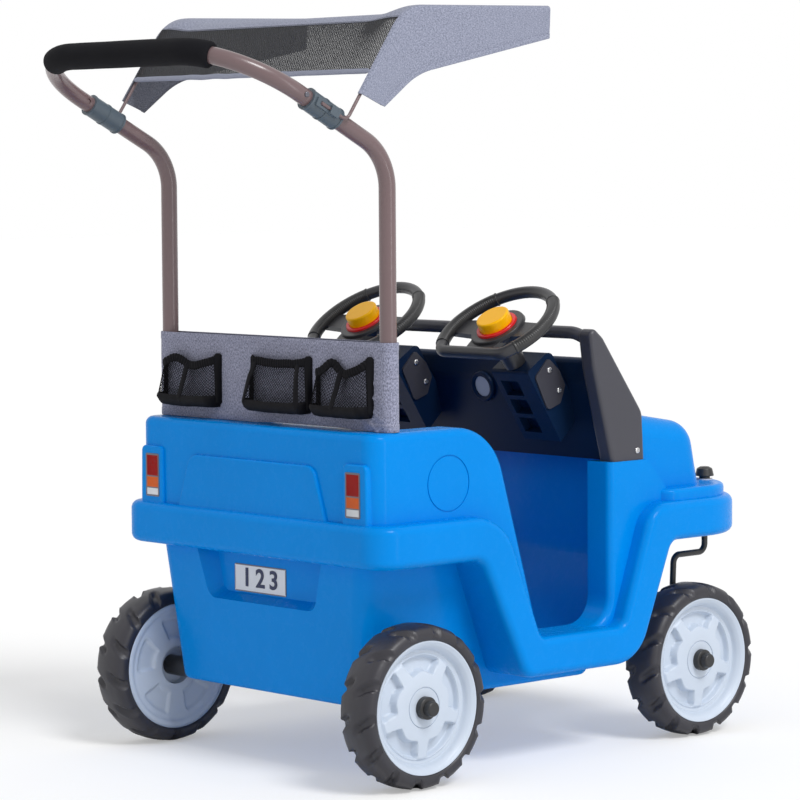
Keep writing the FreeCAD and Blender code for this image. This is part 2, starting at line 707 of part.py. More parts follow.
def steering():
    parts = {}
    reach = STEER_R - 2
    neck_low = -POD_TOP + 0.8
    arms = prism([(-14, -reach, 0), (18, -reach, 0), (22, 0, 0), (18, reach, 0), (-14, reach, 0),
                  (-22, 0, 0)], in_plan, -12, -3)
    foot = prism([(-STEER_FLAT, -26, 0), (-STEER_FLAT, 26, 0), (-20, 34, 0), (-20, -34, 0)],
                 in_plan, -12, -3)
    hub = turned([(0, HUB_LOW, 0), (HUB_R - 8, HUB_LOW, 4), (HUB_R, HUB_TOP - 6, 0), (HUB_R - 2, HUB_TOP, 2),
                  (0, HUB_TOP, 0)])
    neck = turned([(0, neck_low, 0), (17, neck_low, 0), (22, HUB_LOW + 2, 0), (0, HUB_LOW + 2, 0)])
    wheel = fuse([steering_rim(), arms, foot, hub, neck])
    wheel = wheel.cut([cylinder(BUTTON_R + BUTTON_GAP, V(0, 0, WELL), V(0, 0, 1), 40),
                       cylinder(SHAFT_R + FIT, V(0, 0, neck_low - 1), V(0, 0, 1), WELL - 4 - neck_low + 1)])
    shaft = cylinder(SHAFT_R, V(0, 0, -POD_TOP - 42), V(0, 0, 1), POD_TOP + 42 + WELL - 4)
    red = turned([(BUTTON_R + BUTTON_GAP, HUB_TOP, 0), (RING_R, HUB_TOP, 0), (RING_R - 1, RING_TOP, 2),
                  (BUTTON_R + BUTTON_GAP, RING_TOP, 1)])
    skirt = WELL + BUTTON_TRAVEL + 0.5
    button = turned([(BUTTON_R - 3, skirt, 0), (BUTTON_R, skirt, 0), (BUTTON_R, BUTTON_TOP, 3),
                     (0, BUTTON_TOP, 0), (0, BUTTON_TOP - 3, 0), (BUTTON_R - 3, BUTTON_TOP - 3, 0)])
    roof = BUTTON_TOP - 3 - BUTTON_TRAVEL - 0.5
    fold = (roof - WELL) / 6
    waves = [(0, WELL, 0)] + [(18 - 4 * (k % 2), WELL + k * fold, 0) for k in range(7)] + [(0, roof, 0)]
    bellows = turned(waves)
    shapes = {"steering_wheel": wheel, "steering_shaft": shaft, "horn_ring": red, "horn_button": button,
              "horn_bellows": bellows}
    for name, s in SIDES:
        for kind, shape in shapes.items():
            parts[kind + "_" + name] = placed(shape, column_place(s))
    return parts


# Handle: runs along a line that rises towards the rear
RISE = math.radians(HANDLE_RISE)
BACK = V(-math.cos(RISE), 0, math.sin(RISE))
JOINT_AT = 15.0


def on_handle(t, y):
    return V(SLEEVE_X, y, SLEEVE_Z) + BACK * t


def handle():
    parts = {}
    bend_t = (SLEEVE_X - POLE_X) / math.cos(RISE)
    for name, s in SIDES:
        y = s * POLE_Y
        points = [V(POLE_X, y, POLE_FOOT_Z), on_handle(bend_t, y), on_handle(JOINT_AT, y)]
        path = bent(points, [POLE_BEND])
        inside = TUBE_R - TUBE_WALL
        spigot_r = inside - SLIP
        neck = ring(TUBE_R, spigot_r - TUBE_WALL, on_handle(JOINT_AT - 4, y), BACK, 4)
        spigot = ring(spigot_r, spigot_r - TUBE_WALL, on_handle(JOINT_AT - 4, y), BACK,
                      SPIGOT_END - JOINT_AT + 4)
        pole = fuse([rod(path, TUBE_R).cut(rod(path, inside)), neck, spigot])
        out = V(0, s, 0)
        hole = cylinder(SNAP_R + AXLE_PLAY, on_handle(SNAP_AT, y), out, 30)
        parts["pole_" + name] = pole.cut(hole)
        crown = TUBE_R + 2.5
        foot = spigot_r - TUBE_WALL - 2.2
        pin = turned([(0, foot - 2, 0), (SNAP_R + 2, foot - 2, 0), (SNAP_R + 2, foot, 0), (SNAP_R, foot, 0),
                      (SNAP_R, crown, 1.5), (0, crown, 0)])
        pin.Placement = FreeCAD.Placement(on_handle(SNAP_AT, y), FreeCAD.Rotation(V(0, 0, 1), out))
        parts["snap_button_" + name] = pin
        parts["sleeve_" + name] = sleeve(y, s)
    points = [on_handle(JOINT_AT, POLE_Y), on_handle(HANDLE_REACH, POLE_Y), on_handle(HANDLE_REACH, -POLE_Y),
              on_handle(JOINT_AT, -POLE_Y)]
    path = bent(points, [HANDLE_BEND] * 2)
    holes = [cylinder(SNAP_R + AXLE_PLAY, on_handle(SNAP_AT, 0), V(0, s, 0), 300) for _, s in SIDES]
    parts["handle_tube"] = rod(path, TUBE_R).cut([rod(path, TUBE_R - TUBE_WALL)] + holes)
    parts["foam_grip"] = foam()
    return parts


def foam():
    """Foam over the bar and the start of both bends."""
    centre_t = HANDLE_REACH - HANDLE_BEND
    centre_y = POLE_Y - HANDLE_BEND

    def arc_point(s, turn):
        a = math.radians(turn)
        return on_handle(centre_t + HANDLE_BEND * math.cos(a), s * (centre_y + HANDLE_BEND * math.sin(a)))

    first = Part.Arc(arc_point(1, FOAM_TURN), arc_point(1, FOAM_TURN / 2), arc_point(1, 0)).toShape()
    bar = Part.makeLine(arc_point(1, 0), arc_point(-1, 0))
    last = Part.Arc(arc_point(-1, 0), arc_point(-1, FOAM_TURN / 2), arc_point(-1, FOAM_TURN)).toShape()
    path = Part.Wire([first, bar, last])
    return rod(path, FOAM_R).cut(rod(path, TUBE_R + FIT))


def sleeve(y, s):
    """Clip sleeve over the tube joint, with a saddle and strap for the canopy wire on its outer side."""
    low = -SLEEVE_LENGTH / 2
    shapes = [cylinder(SLEEVE_R, on_handle(low, y), BACK, SLEEVE_LENGTH)]
    for at in (low, -BEAD / 2, -low - BEAD):
        shapes.append(cylinder(SLEEVE_R + BEAD_RAISE, on_handle(at, y), BACK, BEAD))
    place = FreeCAD.Placement(on_handle(0, y), FreeCAD.Rotation(V(0, 1, 0), 180 + HANDLE_RISE))
    reach = SLEEVE_R + WIRE_R

    def pad(start, end, out):
        half = CLIP_W / 2
        return prism([(start, -half, 2), (end, -half, 2), (end, half, 2), (start, half, 2)], in_side, 0, out)

    saddle = pad(low + 13, -low - 6, reach)
    strap = pad(low + 14, 0, reach + WIRE_R + 2)
    groove = cylinder(WIRE_R + SLIP, V(low - 10, reach, 0), V(1, 0, 0), WIRE_END - low + 10)
    clip = fuse([saddle, strap]).cut(groove)
    if s < 0:
        clip = clip.mirror(V(0, 0, 0), V(0, 1, 0))
    shapes.append(placed(clip, place))
    bore = cylinder(TUBE_R + FIT, on_handle(low - 5, y), BACK, SLEEVE_LENGTH + 10)
    wire_room = rod(bent([on_handle(WIRE_END, s * WIRE_Y)] + wire_foot(s), [WIRE_BEND]), WIRE_R + SLIP)
    return fuse(shapes).cut([bore, wire_room])


WIRE_Y = POLE_Y + SLEEVE_R + WIRE_R


# Canopy
LEG_FOOT_T = -36.0
LEG_RISE = math.radians(55.0)
SKIN = CLOTH + WIRE_GAP + WIRE_R


def leg_point(z, out=0):
    """Point at height z on the wire leg's line, or on a line beside it, in the middle plane."""
    foot = on_handle(LEG_FOOT_T, 0)
    return V(foot.x + (z - foot.z) / math.tan(LEG_RISE) - out / math.sin(LEG_RISE), 0, z)


def wire_foot(s):
    """Corner where the wire leaves a sleeve, and the upper end of its leg."""
    high = leg_point(CANOPY_TOP_Z - SKIN - CANOPY_FALL)
    return [on_handle(LEG_FOOT_T, s * WIRE_Y), V(high.x, s * WIRE_Y, high.z)]


def canopy_frame():
    """Wire loop from the sleeves up, forward and across the front."""
    left, right = [[on_handle(WIRE_END - FIT, s * WIRE_Y)] + wire_foot(s)
                   + [V(CANOPY_FRONT_X - 8, s * WIRE_Y, CANOPY_TOP_Z - SKIN)] for _, s in SIDES]
    bend = CANOPY_BEND - SKIN
    return rod(bent(left + right[::-1], [WIRE_BEND, bend, 30, 30, bend, WIRE_BEND]), WIRE_R)


def canopy_outline(inside, spread, sag):
    """Side outline of the cover, or of the space under it, with its rear bend lowered by the sag."""
    low = leg_point(SLEEVE_Z + 23 - spread, SKIN - inside)
    top = leg_point(CANOPY_TOP_Z - CANOPY_FALL - sag - inside, SKIN - inside)
    front = CANOPY_FRONT_X + spread
    climb = spread * (CANOPY_FALL + sag) / (CANOPY_FRONT_X - top.x)
    return [(low.x, low.z, 0), (top.x, top.z, CANOPY_BEND - inside),
            (front, CANOPY_TOP_Z - inside + climb, 0), (front - 3, CANOPY_TOP_Z - FLAP_DROP - spread, 0),
            (27, SLEEVE_Z + 52 - spread, FLAP_SWEEP),
            (-39, SLEEVE_Z + 3 - spread, 0)]


def canopy_block(inside, spread, half):
    """Body under the cover's cloth: full height over the side wires, sunk between them."""

    def shoulder(edge):
        box = edge.BoundBox
        outer = near(abs(edge.CenterOfMass.y), half)
        return outer and near(box.YLength, 0) and edge.CenterOfMass.z > MESH_TOP_Z and box.XLength > 5

    def section(y, sag):
        wire = rounded(canopy_outline(inside, spread, sag), in_side)
        wire.translate(V(0, y, 0))
        return wire

    shapes = [prism(canopy_outline(inside, spread, CANOPY_SAG), in_side, -SAG_FULL_Y, SAG_FULL_Y)]
    for _, s in SIDES:
        low, high = sorted((s * SAG_FROM_Y, s * half))
        side = prism(canopy_outline(inside, spread, 0), in_side, low, high)
        shapes.append(fillet(side, SHOULDER_R - inside, shoulder))
        ends = [section(s * SAG_FULL_Y, CANOPY_SAG), section(s * SAG_FROM_Y, 0)]
        shapes.append(Part.makeLoft(ends, True, True))
    return shapes[0].multiFuse(shapes[1:])


def canopy():
    """Sewn cover over the wire loop: a sagging top, two side flaps and a rear opening filled by a net."""
    inner_y = CANOPY_Y - CLOTH
    window_y = inner_y - 3
    high = leg_point(MESH_TOP_Z, SKIN)
    low = leg_point(SLEEVE_Z, SKIN)
    window = prism([(low.x - 30, low.z, 0), (high.x - 30, high.z, 0), (high.x + 30, high.z, 0),
                    (low.x + 60, low.z, 0)], in_side, -window_y, window_y)
    cover = canopy_block(0, 0, CANOPY_Y).cut([canopy_block(CLOTH, 20, inner_y), window])
    parts = {"canopy_top": cover}
    parts.update(net(window_y))
    return parts


def net(window_y):
    """Holed net panel between the rear seam and its sewn lower binding."""
    low = leg_point(MESH_LOW_Z, SKIN - CLOTH / 2)
    high = leg_point(MESH_TOP_Z, SKIN - CLOTH / 2)
    along = high - low
    height = along.Length - SOFT_GAP
    half = window_y - SOFT_GAP
    columns, rows = 24, 6
    margin = 8.0
    pitch_y = 2 * (half - margin) / columns
    pitch_z = (height - 2 * margin) / rows
    face = Part.Wire(Part.makePolygon([V(0, -half, margin), V(0, half, margin), V(0, half, height),
                                       V(0, -half, height), V(0, -half, margin)]))
    holes = []
    for i in range(columns):
        for k in range(rows):
            y = -half + margin + (i + 0.5) * pitch_y
            z = margin + 4 + (k + 0.5) * pitch_z
            ry, rz = pitch_y * 0.36, pitch_z * 0.36
            corners = [V(0, y - ry, z), V(0, y, z + rz), V(0, y + ry, z), V(0, y, z - rz), V(0, y - ry, z)]
            holes.append(Part.Wire(Part.makePolygon(corners)))
    sheet = Part.Face([face] + holes).extrude(V(MESH_T, 0, 0))
    hem = Part.makeBox(3.0, 2 * half, margin, V(-0.9, -half, 0))
    turn = FreeCAD.Placement(low, FreeCAD.Rotation(V(0, 1, 0), 90 - math.degrees(LEG_RISE)))
    return {"canopy_mesh": placed(sheet, turn), "canopy_binding": placed(hem, turn)}


def caddy():
    """Cloth sleeve over both poles, open above and below, with three net pockets on its back."""
    inside = TUBE_R + SOFT_GAP
    outside = inside + CLOTH

    def loop(r):
        y = POLE_Y + CADDY_SLACK + r
        return [(POLE_X - r, -y, r * 0.999), (POLE_X + r, -y, r * 0.999), (POLE_X + r, y, r * 0.999),
                (POLE_X - r, y, r * 0.999)]

    sleeve_cloth = prism(loop(outside), in_plan, CADDY_LOW, CADDY_TOP)
    sleeve_cloth = sleeve_cloth.cut(prism(loop(inside), in_plan, CADDY_LOW - 1, CADDY_TOP + 1))
    parts = {"caddy_panel": sleeve_cloth}
    back = POLE_X - outside - SOFT_GAP
    for name, y, width in POCKETS:
        parts["pocket_" + name] = pocket(back, y, width / 2)
    return parts


def pocket(back, y, half):
    """Bag that swells towards its bottom, open above."""
    def section(z, depth, grow, inside):
        far, close = back - depth + inside, back - inside
        wide, narrow = half + grow - inside, half - inside
        corners = [(far, y - wide, 10), (close, y - narrow, 1), (close, y + narrow, 1), (far, y + wide, 10)]
        wire = rounded(corners, in_plan)
        wire.translate(V(0, 0, z))
        return wire

    deep = POCKET_DEEP
    levels = [(POCKET_LOW, deep - 5, -3), (POCKET_LOW + 14, deep, 0), (POCKET_TOP - 30, deep - 4, -3),
              (POCKET_TOP, deep - 10, -9)]
    outer = Part.makeLoft([section(z, d, g, 0) for z, d, g in levels], True, True)
    inner_levels = [(POCKET_LOW + CLOTH,) + levels[0][1:], levels[1], levels[2],
                    (POCKET_TOP + 1,) + levels[3][1:]]
    inner = Part.makeLoft([section(z, d, g, CLOTH) for z, d, g in inner_levels], True, True)
    return outer.cut(inner)


def main():
    parts = {"body_shell": body_shell()}
    parts.update(rear_face_trims())
    parts.update(wheels())
    parts.update(rear_axle())
    parts.update(casters())
    trims = dash_trims()
    console, frame = dash_holes(dash_console(), windshield_frame(), trims["dash_screws"])
    parts["dash_console"] = console
    parts["windshield_frame"] = frame
    parts.update(trims)
    parts.update(steering())
    parts.update(handle())
    parts["canopy_frame"] = canopy_frame()
    parts.update(canopy())
    parts.update(caddy())

    rear_end = on_handle(HANDLE_REACH, 0).x - FOAM_R
    middle = (rear_end + BAND_FRONT) / 2
    os.makedirs("parts", exist_ok=True)
    for name, shape in parts.items():
        shape = shape.copy()
        shape.translate(V(-middle, 0, TYRE_R - AXLE_Z))
        shape.exportStep("parts/" + name + ".step")
        solids = len(shape.Solids)
        print(name, "solids", solids, "valid", shape.isValid(), "volume", round(shape.Volume))


main()
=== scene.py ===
import logging
import math
from contextlib import contextmanager
from dataclasses import dataclass
from enum import Enum
from functools import cached_property, partial
from typing import Callable, Iterator, Sequence

import bpy
from mathutils import Matrix, Vector, noise


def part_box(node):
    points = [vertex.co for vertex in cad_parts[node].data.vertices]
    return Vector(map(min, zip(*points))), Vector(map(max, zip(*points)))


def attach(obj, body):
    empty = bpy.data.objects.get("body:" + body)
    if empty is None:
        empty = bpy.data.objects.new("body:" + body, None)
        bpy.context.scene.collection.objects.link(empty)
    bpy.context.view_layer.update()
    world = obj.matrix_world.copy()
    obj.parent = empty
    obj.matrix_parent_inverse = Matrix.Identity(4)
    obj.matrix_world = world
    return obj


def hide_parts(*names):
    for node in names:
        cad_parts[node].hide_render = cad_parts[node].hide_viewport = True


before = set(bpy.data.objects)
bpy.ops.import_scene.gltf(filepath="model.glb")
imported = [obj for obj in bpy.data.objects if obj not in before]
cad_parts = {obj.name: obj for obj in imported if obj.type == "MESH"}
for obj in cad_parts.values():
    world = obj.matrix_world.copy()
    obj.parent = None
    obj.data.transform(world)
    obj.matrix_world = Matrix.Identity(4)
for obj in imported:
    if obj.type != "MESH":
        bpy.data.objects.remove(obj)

LOG = logging.getLogger("push_car")
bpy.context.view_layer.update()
MM = 0.001
AXLE_Z = 121.0
AXLE = sum((Vector(corner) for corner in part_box("rear_axle")), Vector()) / 2
SIDES = (("left", 1.0), ("right", -1.0))
AHEAD, LEFT, UP = (Vector(axis) for axis in ((1, 0, 0), (0, 1, 0), (0, 0, 1)))
COLUMN = (311.0, 154.0, 664.6)
COLUMN_TILT = 33.3
ARC_STEPS = 24
WEAVE_MAP = "Weave"
Pair = tuple[float, float]
Point = tuple[float, float, float]
Corner = tuple[float, float, float]
Colour = tuple[float, float, float]
Feed = float | tuple | bpy.types.NodeSocket


def row(x: float, y: float, z: float) -> Vector:
    """Turn millimetres counted from the rear axle into the row frame.

    Args:
        x: Forward distance from the rear axle.
        y: Distance to the car's left.
        z: Height, with the rear axle at AXLE_Z.

    Returns:
        The point in metres.
    """
    return AXLE + Vector((x, y, z - AXLE_Z)) * MM


def smooth(low: float, high: float, value: float) -> float:
    """Ease from 0 at low to 1 at high.

    Args:
        low: Value where the step starts.
        high: Value where the step ends.
        value: Value to test.

    Returns:
        A number from 0 to 1.
    """
    share = min(max((value - low) / (high - low), 0.0), 1.0)
    return share * share * (3 - 2 * share)


def swing(first: Vector, second: Vector, angle: float) -> Vector:
    """Give the direction at an angle from the first axis towards the second."""
    return first * math.cos(angle) + second * math.sin(angle)


def tilted() -> tuple[Vector, Vector]:
    """Give a steering wheel's own axes: ahead in its plane, and up out of it."""
    tilt = math.radians(COLUMN_TILT)
    return swing(AHEAD, UP, tilt), swing(UP, -AHEAD, tilt)


def pairs(*stems: str) -> tuple[str, ...]:
    """Name the left and the right one of each kind of piece."""
    return tuple(f"{stem}_{side}" for stem in stems for side, _ in SIDES)


class Graph:
    """A shader node tree that is written node by node."""

    def __init__(self, tree: bpy.types.NodeTree) -> None:
        """Empty the tree and keep it."""
        self.tree = tree
        self.tree.nodes.clear()

    def node(self, kind: str, inputs: dict | None = None, **settings: object) -> bpy.types.Node:
        """Add a node, with settings and with values or links on its inputs.

        Args:
            kind: Blender's name of the node type.
            inputs: Input name or number to a value or to an output socket.
            settings: Properties of the node itself.

        Returns:
            The new node.
        """
        made = self.tree.nodes.new(kind)
        for name, value in settings.items():
            setattr(made, name, value)
        for name, value in (inputs or {}).items():
            if isinstance(value, bpy.types.NodeSocket):
                self.tree.links.new(value, made.inputs[name])
            else:
                made.inputs[name].default_value = value
        return made

    def maths(self, operation: str, *values: Feed) -> bpy.types.NodeSocket:
        """Add a Math node.

        Args:
            operation: The Math node's operation.
            values: Numbers or sockets, in order.

        Returns:
            The result's socket.
        """
        return self.node("ShaderNodeMath", dict(enumerate(values)), operation=operation).outputs[0]

    def ramp(self, source: bpy.types.NodeSocket, low: float, high: float) -> bpy.types.NodeSocket:
        """Spread a range of a value over 0 to 1.

        Args:
            source: The value's socket.
            low: Value that becomes 0.
            high: Value that becomes 1.

        Returns:
            The spread value's socket.
        """
        made = self.node("ShaderNodeMapRange", {"Value": source, "From Min": low, "From Max": high})
        return made.outputs["Result"]

    def blend(self, share: Feed, first: Feed, second: Feed) -> bpy.types.NodeSocket:
        """Mix two colours.

        Args:
            share: Number or socket, 0 for the first colour.
            first: Colour or socket.
            second: Colour or socket.

        Returns:
            The mixed colour's socket.
        """
        made = self.node("ShaderNodeMix", {0: share, 6: first, 7: second}, data_type="RGBA")
        return made.outputs[2]

    @classmethod
    def material(cls, name: str) -> tuple["Graph", bpy.types.Material]:
        """Start a node material.

        Args:
            name: The material's name.

        Returns:
            Its empty graph and the material.
        """
        made = bpy.data.materials.new(name)
        made.use_nodes = True
        return cls(made.node_tree), made

    def dress(self, vector: bpy.types.NodeSocket, group: bpy.types.NodeTree, values: dict, bump: Pair,
              shading: dict) -> None:
        """Put a node group under a Principled shader.

        Args:
            vector: Coordinates for the group.
            group: The shared effect.
            values: The group's own inputs.
            bump: Strength and distance of the bump.
            shading: The shader's constants.
        """
        surface = self.node("ShaderNodeGroup", node_tree=group)
        for label, value in values.items():
            surface.inputs[label].default_value = value
        self.tree.links.new(vector, surface.inputs["Vector"])
        relief = self.node("ShaderNodeBump", {"Height": surface.outputs["Height"], "Strength": bump[0],
                                              "Distance": bump[1]})
        varying = {"Base Color": surface.outputs["Colour"], "Normal": relief.outputs[0]}
        if "Roughness" in surface.outputs:
            varying["Roughness"] = surface.outputs["Roughness"]
        shader = self.node("ShaderNodeBsdfPrincipled", {**varying, **shading})
        self.node("ShaderNodeOutputMaterial", {"Surface": shader.outputs[0]})


class Effects:
    """Shader node groups that several finishes share."""

    built: dict[str, bpy.types.NodeTree] = {}

    @classmethod
    def group(cls, name: str, inputs: Sequence[tuple],
              outputs: Sequence[tuple]) -> tuple[Graph, bpy.types.bpy_prop_collection]:
        """Start a node group with named sockets.

        Args:
            name: The group's name.
            inputs: (name, kind, default) of each input.
            outputs: (name, kind) of each output.

        Returns:
            The graph and its input sockets by name.
        """
        tree = bpy.data.node_groups.new(name, "ShaderNodeTree")
        for label, kind, default in inputs:
            socket = tree.interface.new_socket(label, in_out="INPUT", socket_type=kind)
            socket.default_value = default
        for label, kind in outputs:
            tree.interface.new_socket(label, in_out="OUTPUT", socket_type=kind)
        graph = Graph(tree)
        start = graph.node("NodeGroupInput")
        cls.built[name] = tree
        return graph, start.outputs

    @classmethod
    def moulded(cls) -> bpy.types.NodeTree:
        """Moulded plastic: slow colour drift, fine grain and faint scuffs.

        Returns:
            The group's tree.
        """
        name = "moulded_surface"
        if name in cls.built:
            return cls.built[name]
        graph, source = cls.group(
            name,
            [("Vector", "NodeSocketVector", (0, 0, 0)), ("Colour", "NodeSocketColor", (1, 1, 1, 1)),
             ("Drift", "NodeSocketFloat", 0.06), ("Grain Scale", "NodeSocketFloat", 900.0),
             ("Roughness", "NodeSocketFloat", 0.4), ("Spread", "NodeSocketFloat", 0.06)],
            [("Colour", "NodeSocketColor"), ("Roughness", "NodeSocketFloat"), ("Height", "NodeSocketFloat")])
        slow = graph.node("ShaderNodeTexNoise", {"Vector": source["Vector"], "Scale": 7.0, "Detail": 3.0})
        grain = graph.node("ShaderNodeTexNoise", {"Vector": source["Vector"], "Scale": source["Grain Scale"],
                                                  "Detail": 2.0})
        scuff = graph.node("ShaderNodeTexNoise", {"Vector": source["Vector"], "Scale": 55.0, "Detail": 6.0,
                                                  "Roughness": 0.7})
        shade = graph.maths("MULTIPLY_ADD", graph.ramp(slow.outputs["Fac"], 0.3, 0.7), source["Drift"],
                            graph.maths("SUBTRACT", 1.0, source["Drift"]))
        colour = graph.node("ShaderNodeVectorMath", {0: source["Colour"], 1: shade}, operation="MULTIPLY")
        scuffed = graph.maths("SUBTRACT", scuff.outputs["Fac"], 0.5)
        spread = graph.maths("MULTIPLY", scuffed, source["Spread"])
        rough = graph.maths("ADD", source["Roughness"], graph.maths("MULTIPLY", spread, 2.0))
        graph.node("NodeGroupOutput", {"Colour": colour.outputs[0], "Roughness": rough,
                                       "Height": grain.outputs["Fac"]})
        return cls.built[name]

    @classmethod
    def weave(cls) -> bpy.types.NodeTree:
        """Plain weave of mottled yarns, on a UV map in metres.

        Returns:
            The group's tree.
        """
        name = "heather_weave"
        if name in cls.built:
            return cls.built[name]
        graph, source = cls.group(
            name,
            [("Vector", "NodeSocketVector", (0, 0, 0)), ("Dark", "NodeSocketColor", (0, 0, 0, 1)),
             ("Pale", "NodeSocketColor", (1, 1, 1, 1)), ("Yarns", "NodeSocketFloat", 900.0)],
            [("Colour", "NodeSocketColor"), ("Height", "NodeSocketFloat")])
        split = graph.node("ShaderNodeSeparateXYZ", {"Vector": source["Vector"]})
        pitch = graph.maths("MULTIPLY", source["Yarns"], math.pi)
        waves = []
        for axis, shift in ((0, 0.0), (1, math.pi / 2)):
            turn = graph.maths("MULTIPLY", split.outputs[axis], pitch)
            waves.append(graph.maths("SINE", graph.maths("ADD", turn, shift)))
        height = graph.maths("MULTIPLY_ADD", graph.maths("MULTIPLY", waves[0], waves[1]), 0.5, 0.5)
        stretched = graph.node("ShaderNodeMapping", {"Vector": source["Vector"], "Scale": (1.0, 0.6, 1.0)})
        fleck = graph.node("ShaderNodeTexNoise", {"Vector": stretched.outputs[0],
                                                  "Scale": graph.maths("MULTIPLY", source["Yarns"], 0.55),
                                                  "Detail": 3.0, "Roughness": 0.75})
        slow = graph.node("ShaderNodeTexNoise", {"Vector": source["Vector"], "Scale": 60.0, "Detail": 4.0})
        share = graph.maths("MULTIPLY_ADD", graph.ramp(fleck.outputs["Fac"], 0.37, 0.63), 0.8,
                            graph.maths("MULTIPLY", slow.outputs["Fac"], 0.2))
        colour = graph.blend(share, source["Dark"], source["Pale"])
        graph.node("NodeGroupOutput", {"Colour": colour, "Height": height})
        return cls.built[name]


@dataclass(frozen=True)
class Plastic:
    """Moulded plastic, foam, rubber or paint."""

    name: str
    colour: Colour
    roughness: float = 0.4
    spread: float = 0.05
    drift: float = 0.06
    grain: float = 900.0
    bump: float = 0.1
    depth: float = 0.0002
    coat: float = 0.0
    metal: float = 0.0
    specular: float = 0.5

    def material(self) -> bpy.types.Material:
        """Make the node material.

        Returns:
            The material.
        """
        graph, made = Graph.material(self.name)
        values = {"Colour": (*self.colour, 1), "Drift": self.drift, "Grain Scale": self.grain,
                  "Roughness": self.roughness, "Spread": self.spread}
        shading = {"Metallic": self.metal, "Coat Weight": self.coat, "Coat Roughness": 0.15,
                   "Specular IOR Level": self.specular}
        place = graph.node("ShaderNodeTexCoord").outputs["Object"]
        graph.dress(place, Effects.moulded(), values, (self.bump, self.depth), shading)
        return made


@dataclass(frozen=True)
class Cloth:
    """Woven polyester of dark and pale yarns."""

    name: str
    dark: Colour
    pale: Colour
    yarns: float = 900.0
    bump: float = 0.35
    depth: float = 0.0004

    def material(self) -> bpy.types.Material:
        """Make the node material.

        Returns:
            The material.
        """
        graph, made = Graph.material(self.name)
        values = {"Dark": (*self.dark, 1), "Pale": (*self.pale, 1), "Yarns": self.yarns}
        shading = {"Roughness": 0.9, "Sheen Weight": 0.15, "Sheen Roughness": 0.5, "Specular IOR Level": 0.2}
        place = graph.node("ShaderNodeUVMap", uv_map=WEAVE_MAP).outputs[0]
        graph.dress(place, Effects.weave(), values, (self.bump, self.depth), shading)
        return made


class Finish(Enum):
    """Every finish on the car."""

    BODY = Plastic("blue_polyethylene", (0.0, 0.232, 0.7), roughness=0.27, drift=0.05, grain=260,
                   bump=0.015, depth=0.0004, specular=0.04, coat=0.08)
    # Black dash plastic. Its navy tint is painted reflection of the blue body's bounce light, not the
    # plastic's own colour.
    DASH = Plastic("black_dash_plastic_painted_blue_reflection", (0.003, 0.014, 0.045), roughness=0.36, grain=1400, bump=0.2,
                   depth=0.0003, specular=0.14)
    POST = Plastic("grained_grey_plastic", (0.042, 0.042, 0.055), grain=1400, bump=0.3, depth=0.0003)
    STEER = Plastic("steering_plastic", (0.026, 0.026, 0.03), roughness=0.36, grain=1400, bump=0.2,
                    depth=0.0003)
    BLACK = Plastic("satin_black_plastic", (0.018, 0.018, 0.019), grain=1200, bump=0.12)
    TYRE = Plastic("tyre_plastic", (0.024, 0.023, 0.031), roughness=0.42, spread=0.12, drift=0.25,
                   grain=500, bump=0.12)
    RIM = Plastic("white_rim_plastic", (0.52, 0.585, 0.68), roughness=0.42, drift=0.04, grain=700, bump=0.06)
    RED = Plastic("red_plastic", (0.68, 0.008, 0.012), roughness=0.3, bump=0.05)
    YELLOW = Plastic("yellow_plastic", (1.0, 0.5, 0.0), roughness=0.32, bump=0.05, specular=0.2)
    DISC = Plastic("pale_disc", (0.42, 0.43, 0.46), roughness=0.3, bump=0.05)
    TUBE = Plastic("bronze_powder_coat", (0.145, 0.093, 0.097), roughness=0.3, grain=2200, bump=0.15,
                   coat=0.3)
    SLEEVE = Plastic("slate_plastic", (0.075, 0.1, 0.125), grain=1000)
    STEEL = Plastic("bright_steel", (0.62, 0.62, 0.63), roughness=0.28, spread=0.12, metal=1.0, grain=300,
                    bump=0.03)
    BLACK_ROD = Plastic("black_coated_rod", (0.02, 0.02, 0.02))
    FOAM = Plastic("black_foam", (0.008, 0.008, 0.0105), roughness=0.85, drift=0.3, grain=1100, bump=0.6,
                   depth=0.0006, specular=0.12)
    PALE = Plastic("pale_bush", (0.6, 0.6, 0.63))
    FOIL = Plastic("silver_foil", (0.62, 0.65, 0.7), roughness=0.34, metal=0.3, grain=150, bump=0.01)
    CANOPY = Cloth("grey_heather", (0.13, 0.145, 0.2), (0.37, 0.39, 0.5))
    CADDY = Cloth("dark_heather", (0.086, 0.093, 0.135), (0.39, 0.4, 0.53))
    # The canopy's grey heather darkened as painted shade, used on the cover's inside and its cut edges.
    LINING = Cloth("canopy_cloth_painted_shade", (0.06, 0.064, 0.08), (0.22, 0.23, 0.28))
    NET = Plastic("net_yarn", (0.004, 0.004, 0.005), roughness=0.7, grain=3000, bump=0.3, specular=0.1)
    CANOPY_NET = Plastic("glossy_net_yarn", (0.03, 0.031, 0.035), roughness=0.45, grain=3000, bump=0.3)
    TAPE = Plastic("black_tape", (0.004, 0.004, 0.006), roughness=0.65, drift=0.3, grain=2600, bump=0.4,
                   depth=0.0004, specular=0.12)
    CHROME = Plastic("dull_grey_metal", (0.14, 0.14, 0.165), roughness=0.3, metal=0.6, bump=0.03)
    LENS = Plastic("red_lens", (0.3, 0.003, 0.002), roughness=0.16, drift=0.35, grain=300, bump=0.05,
                   specular=0.1, coat=0.05)
    AMBER = Plastic("amber_lens", (0.62, 0.1, 0.004), roughness=0.16, drift=0.3, grain=300, bump=0.05,
                    specular=0.2, coat=0.1)
    CLEAR = Plastic("clear_lens", (0.66, 0.68, 0.72), roughness=0.16, drift=0.3, grain=300, bump=0.05,
                    coat=0.6)
    INK = Plastic("dark_ink", (0.006, 0.016, 0.07), roughness=0.45, bump=0.05)

    def material(self) -> bpy.types.Material:
        """Give the finish's material, made once."""
        return bpy.data.materials.get(self.value.name) or self.value.material()


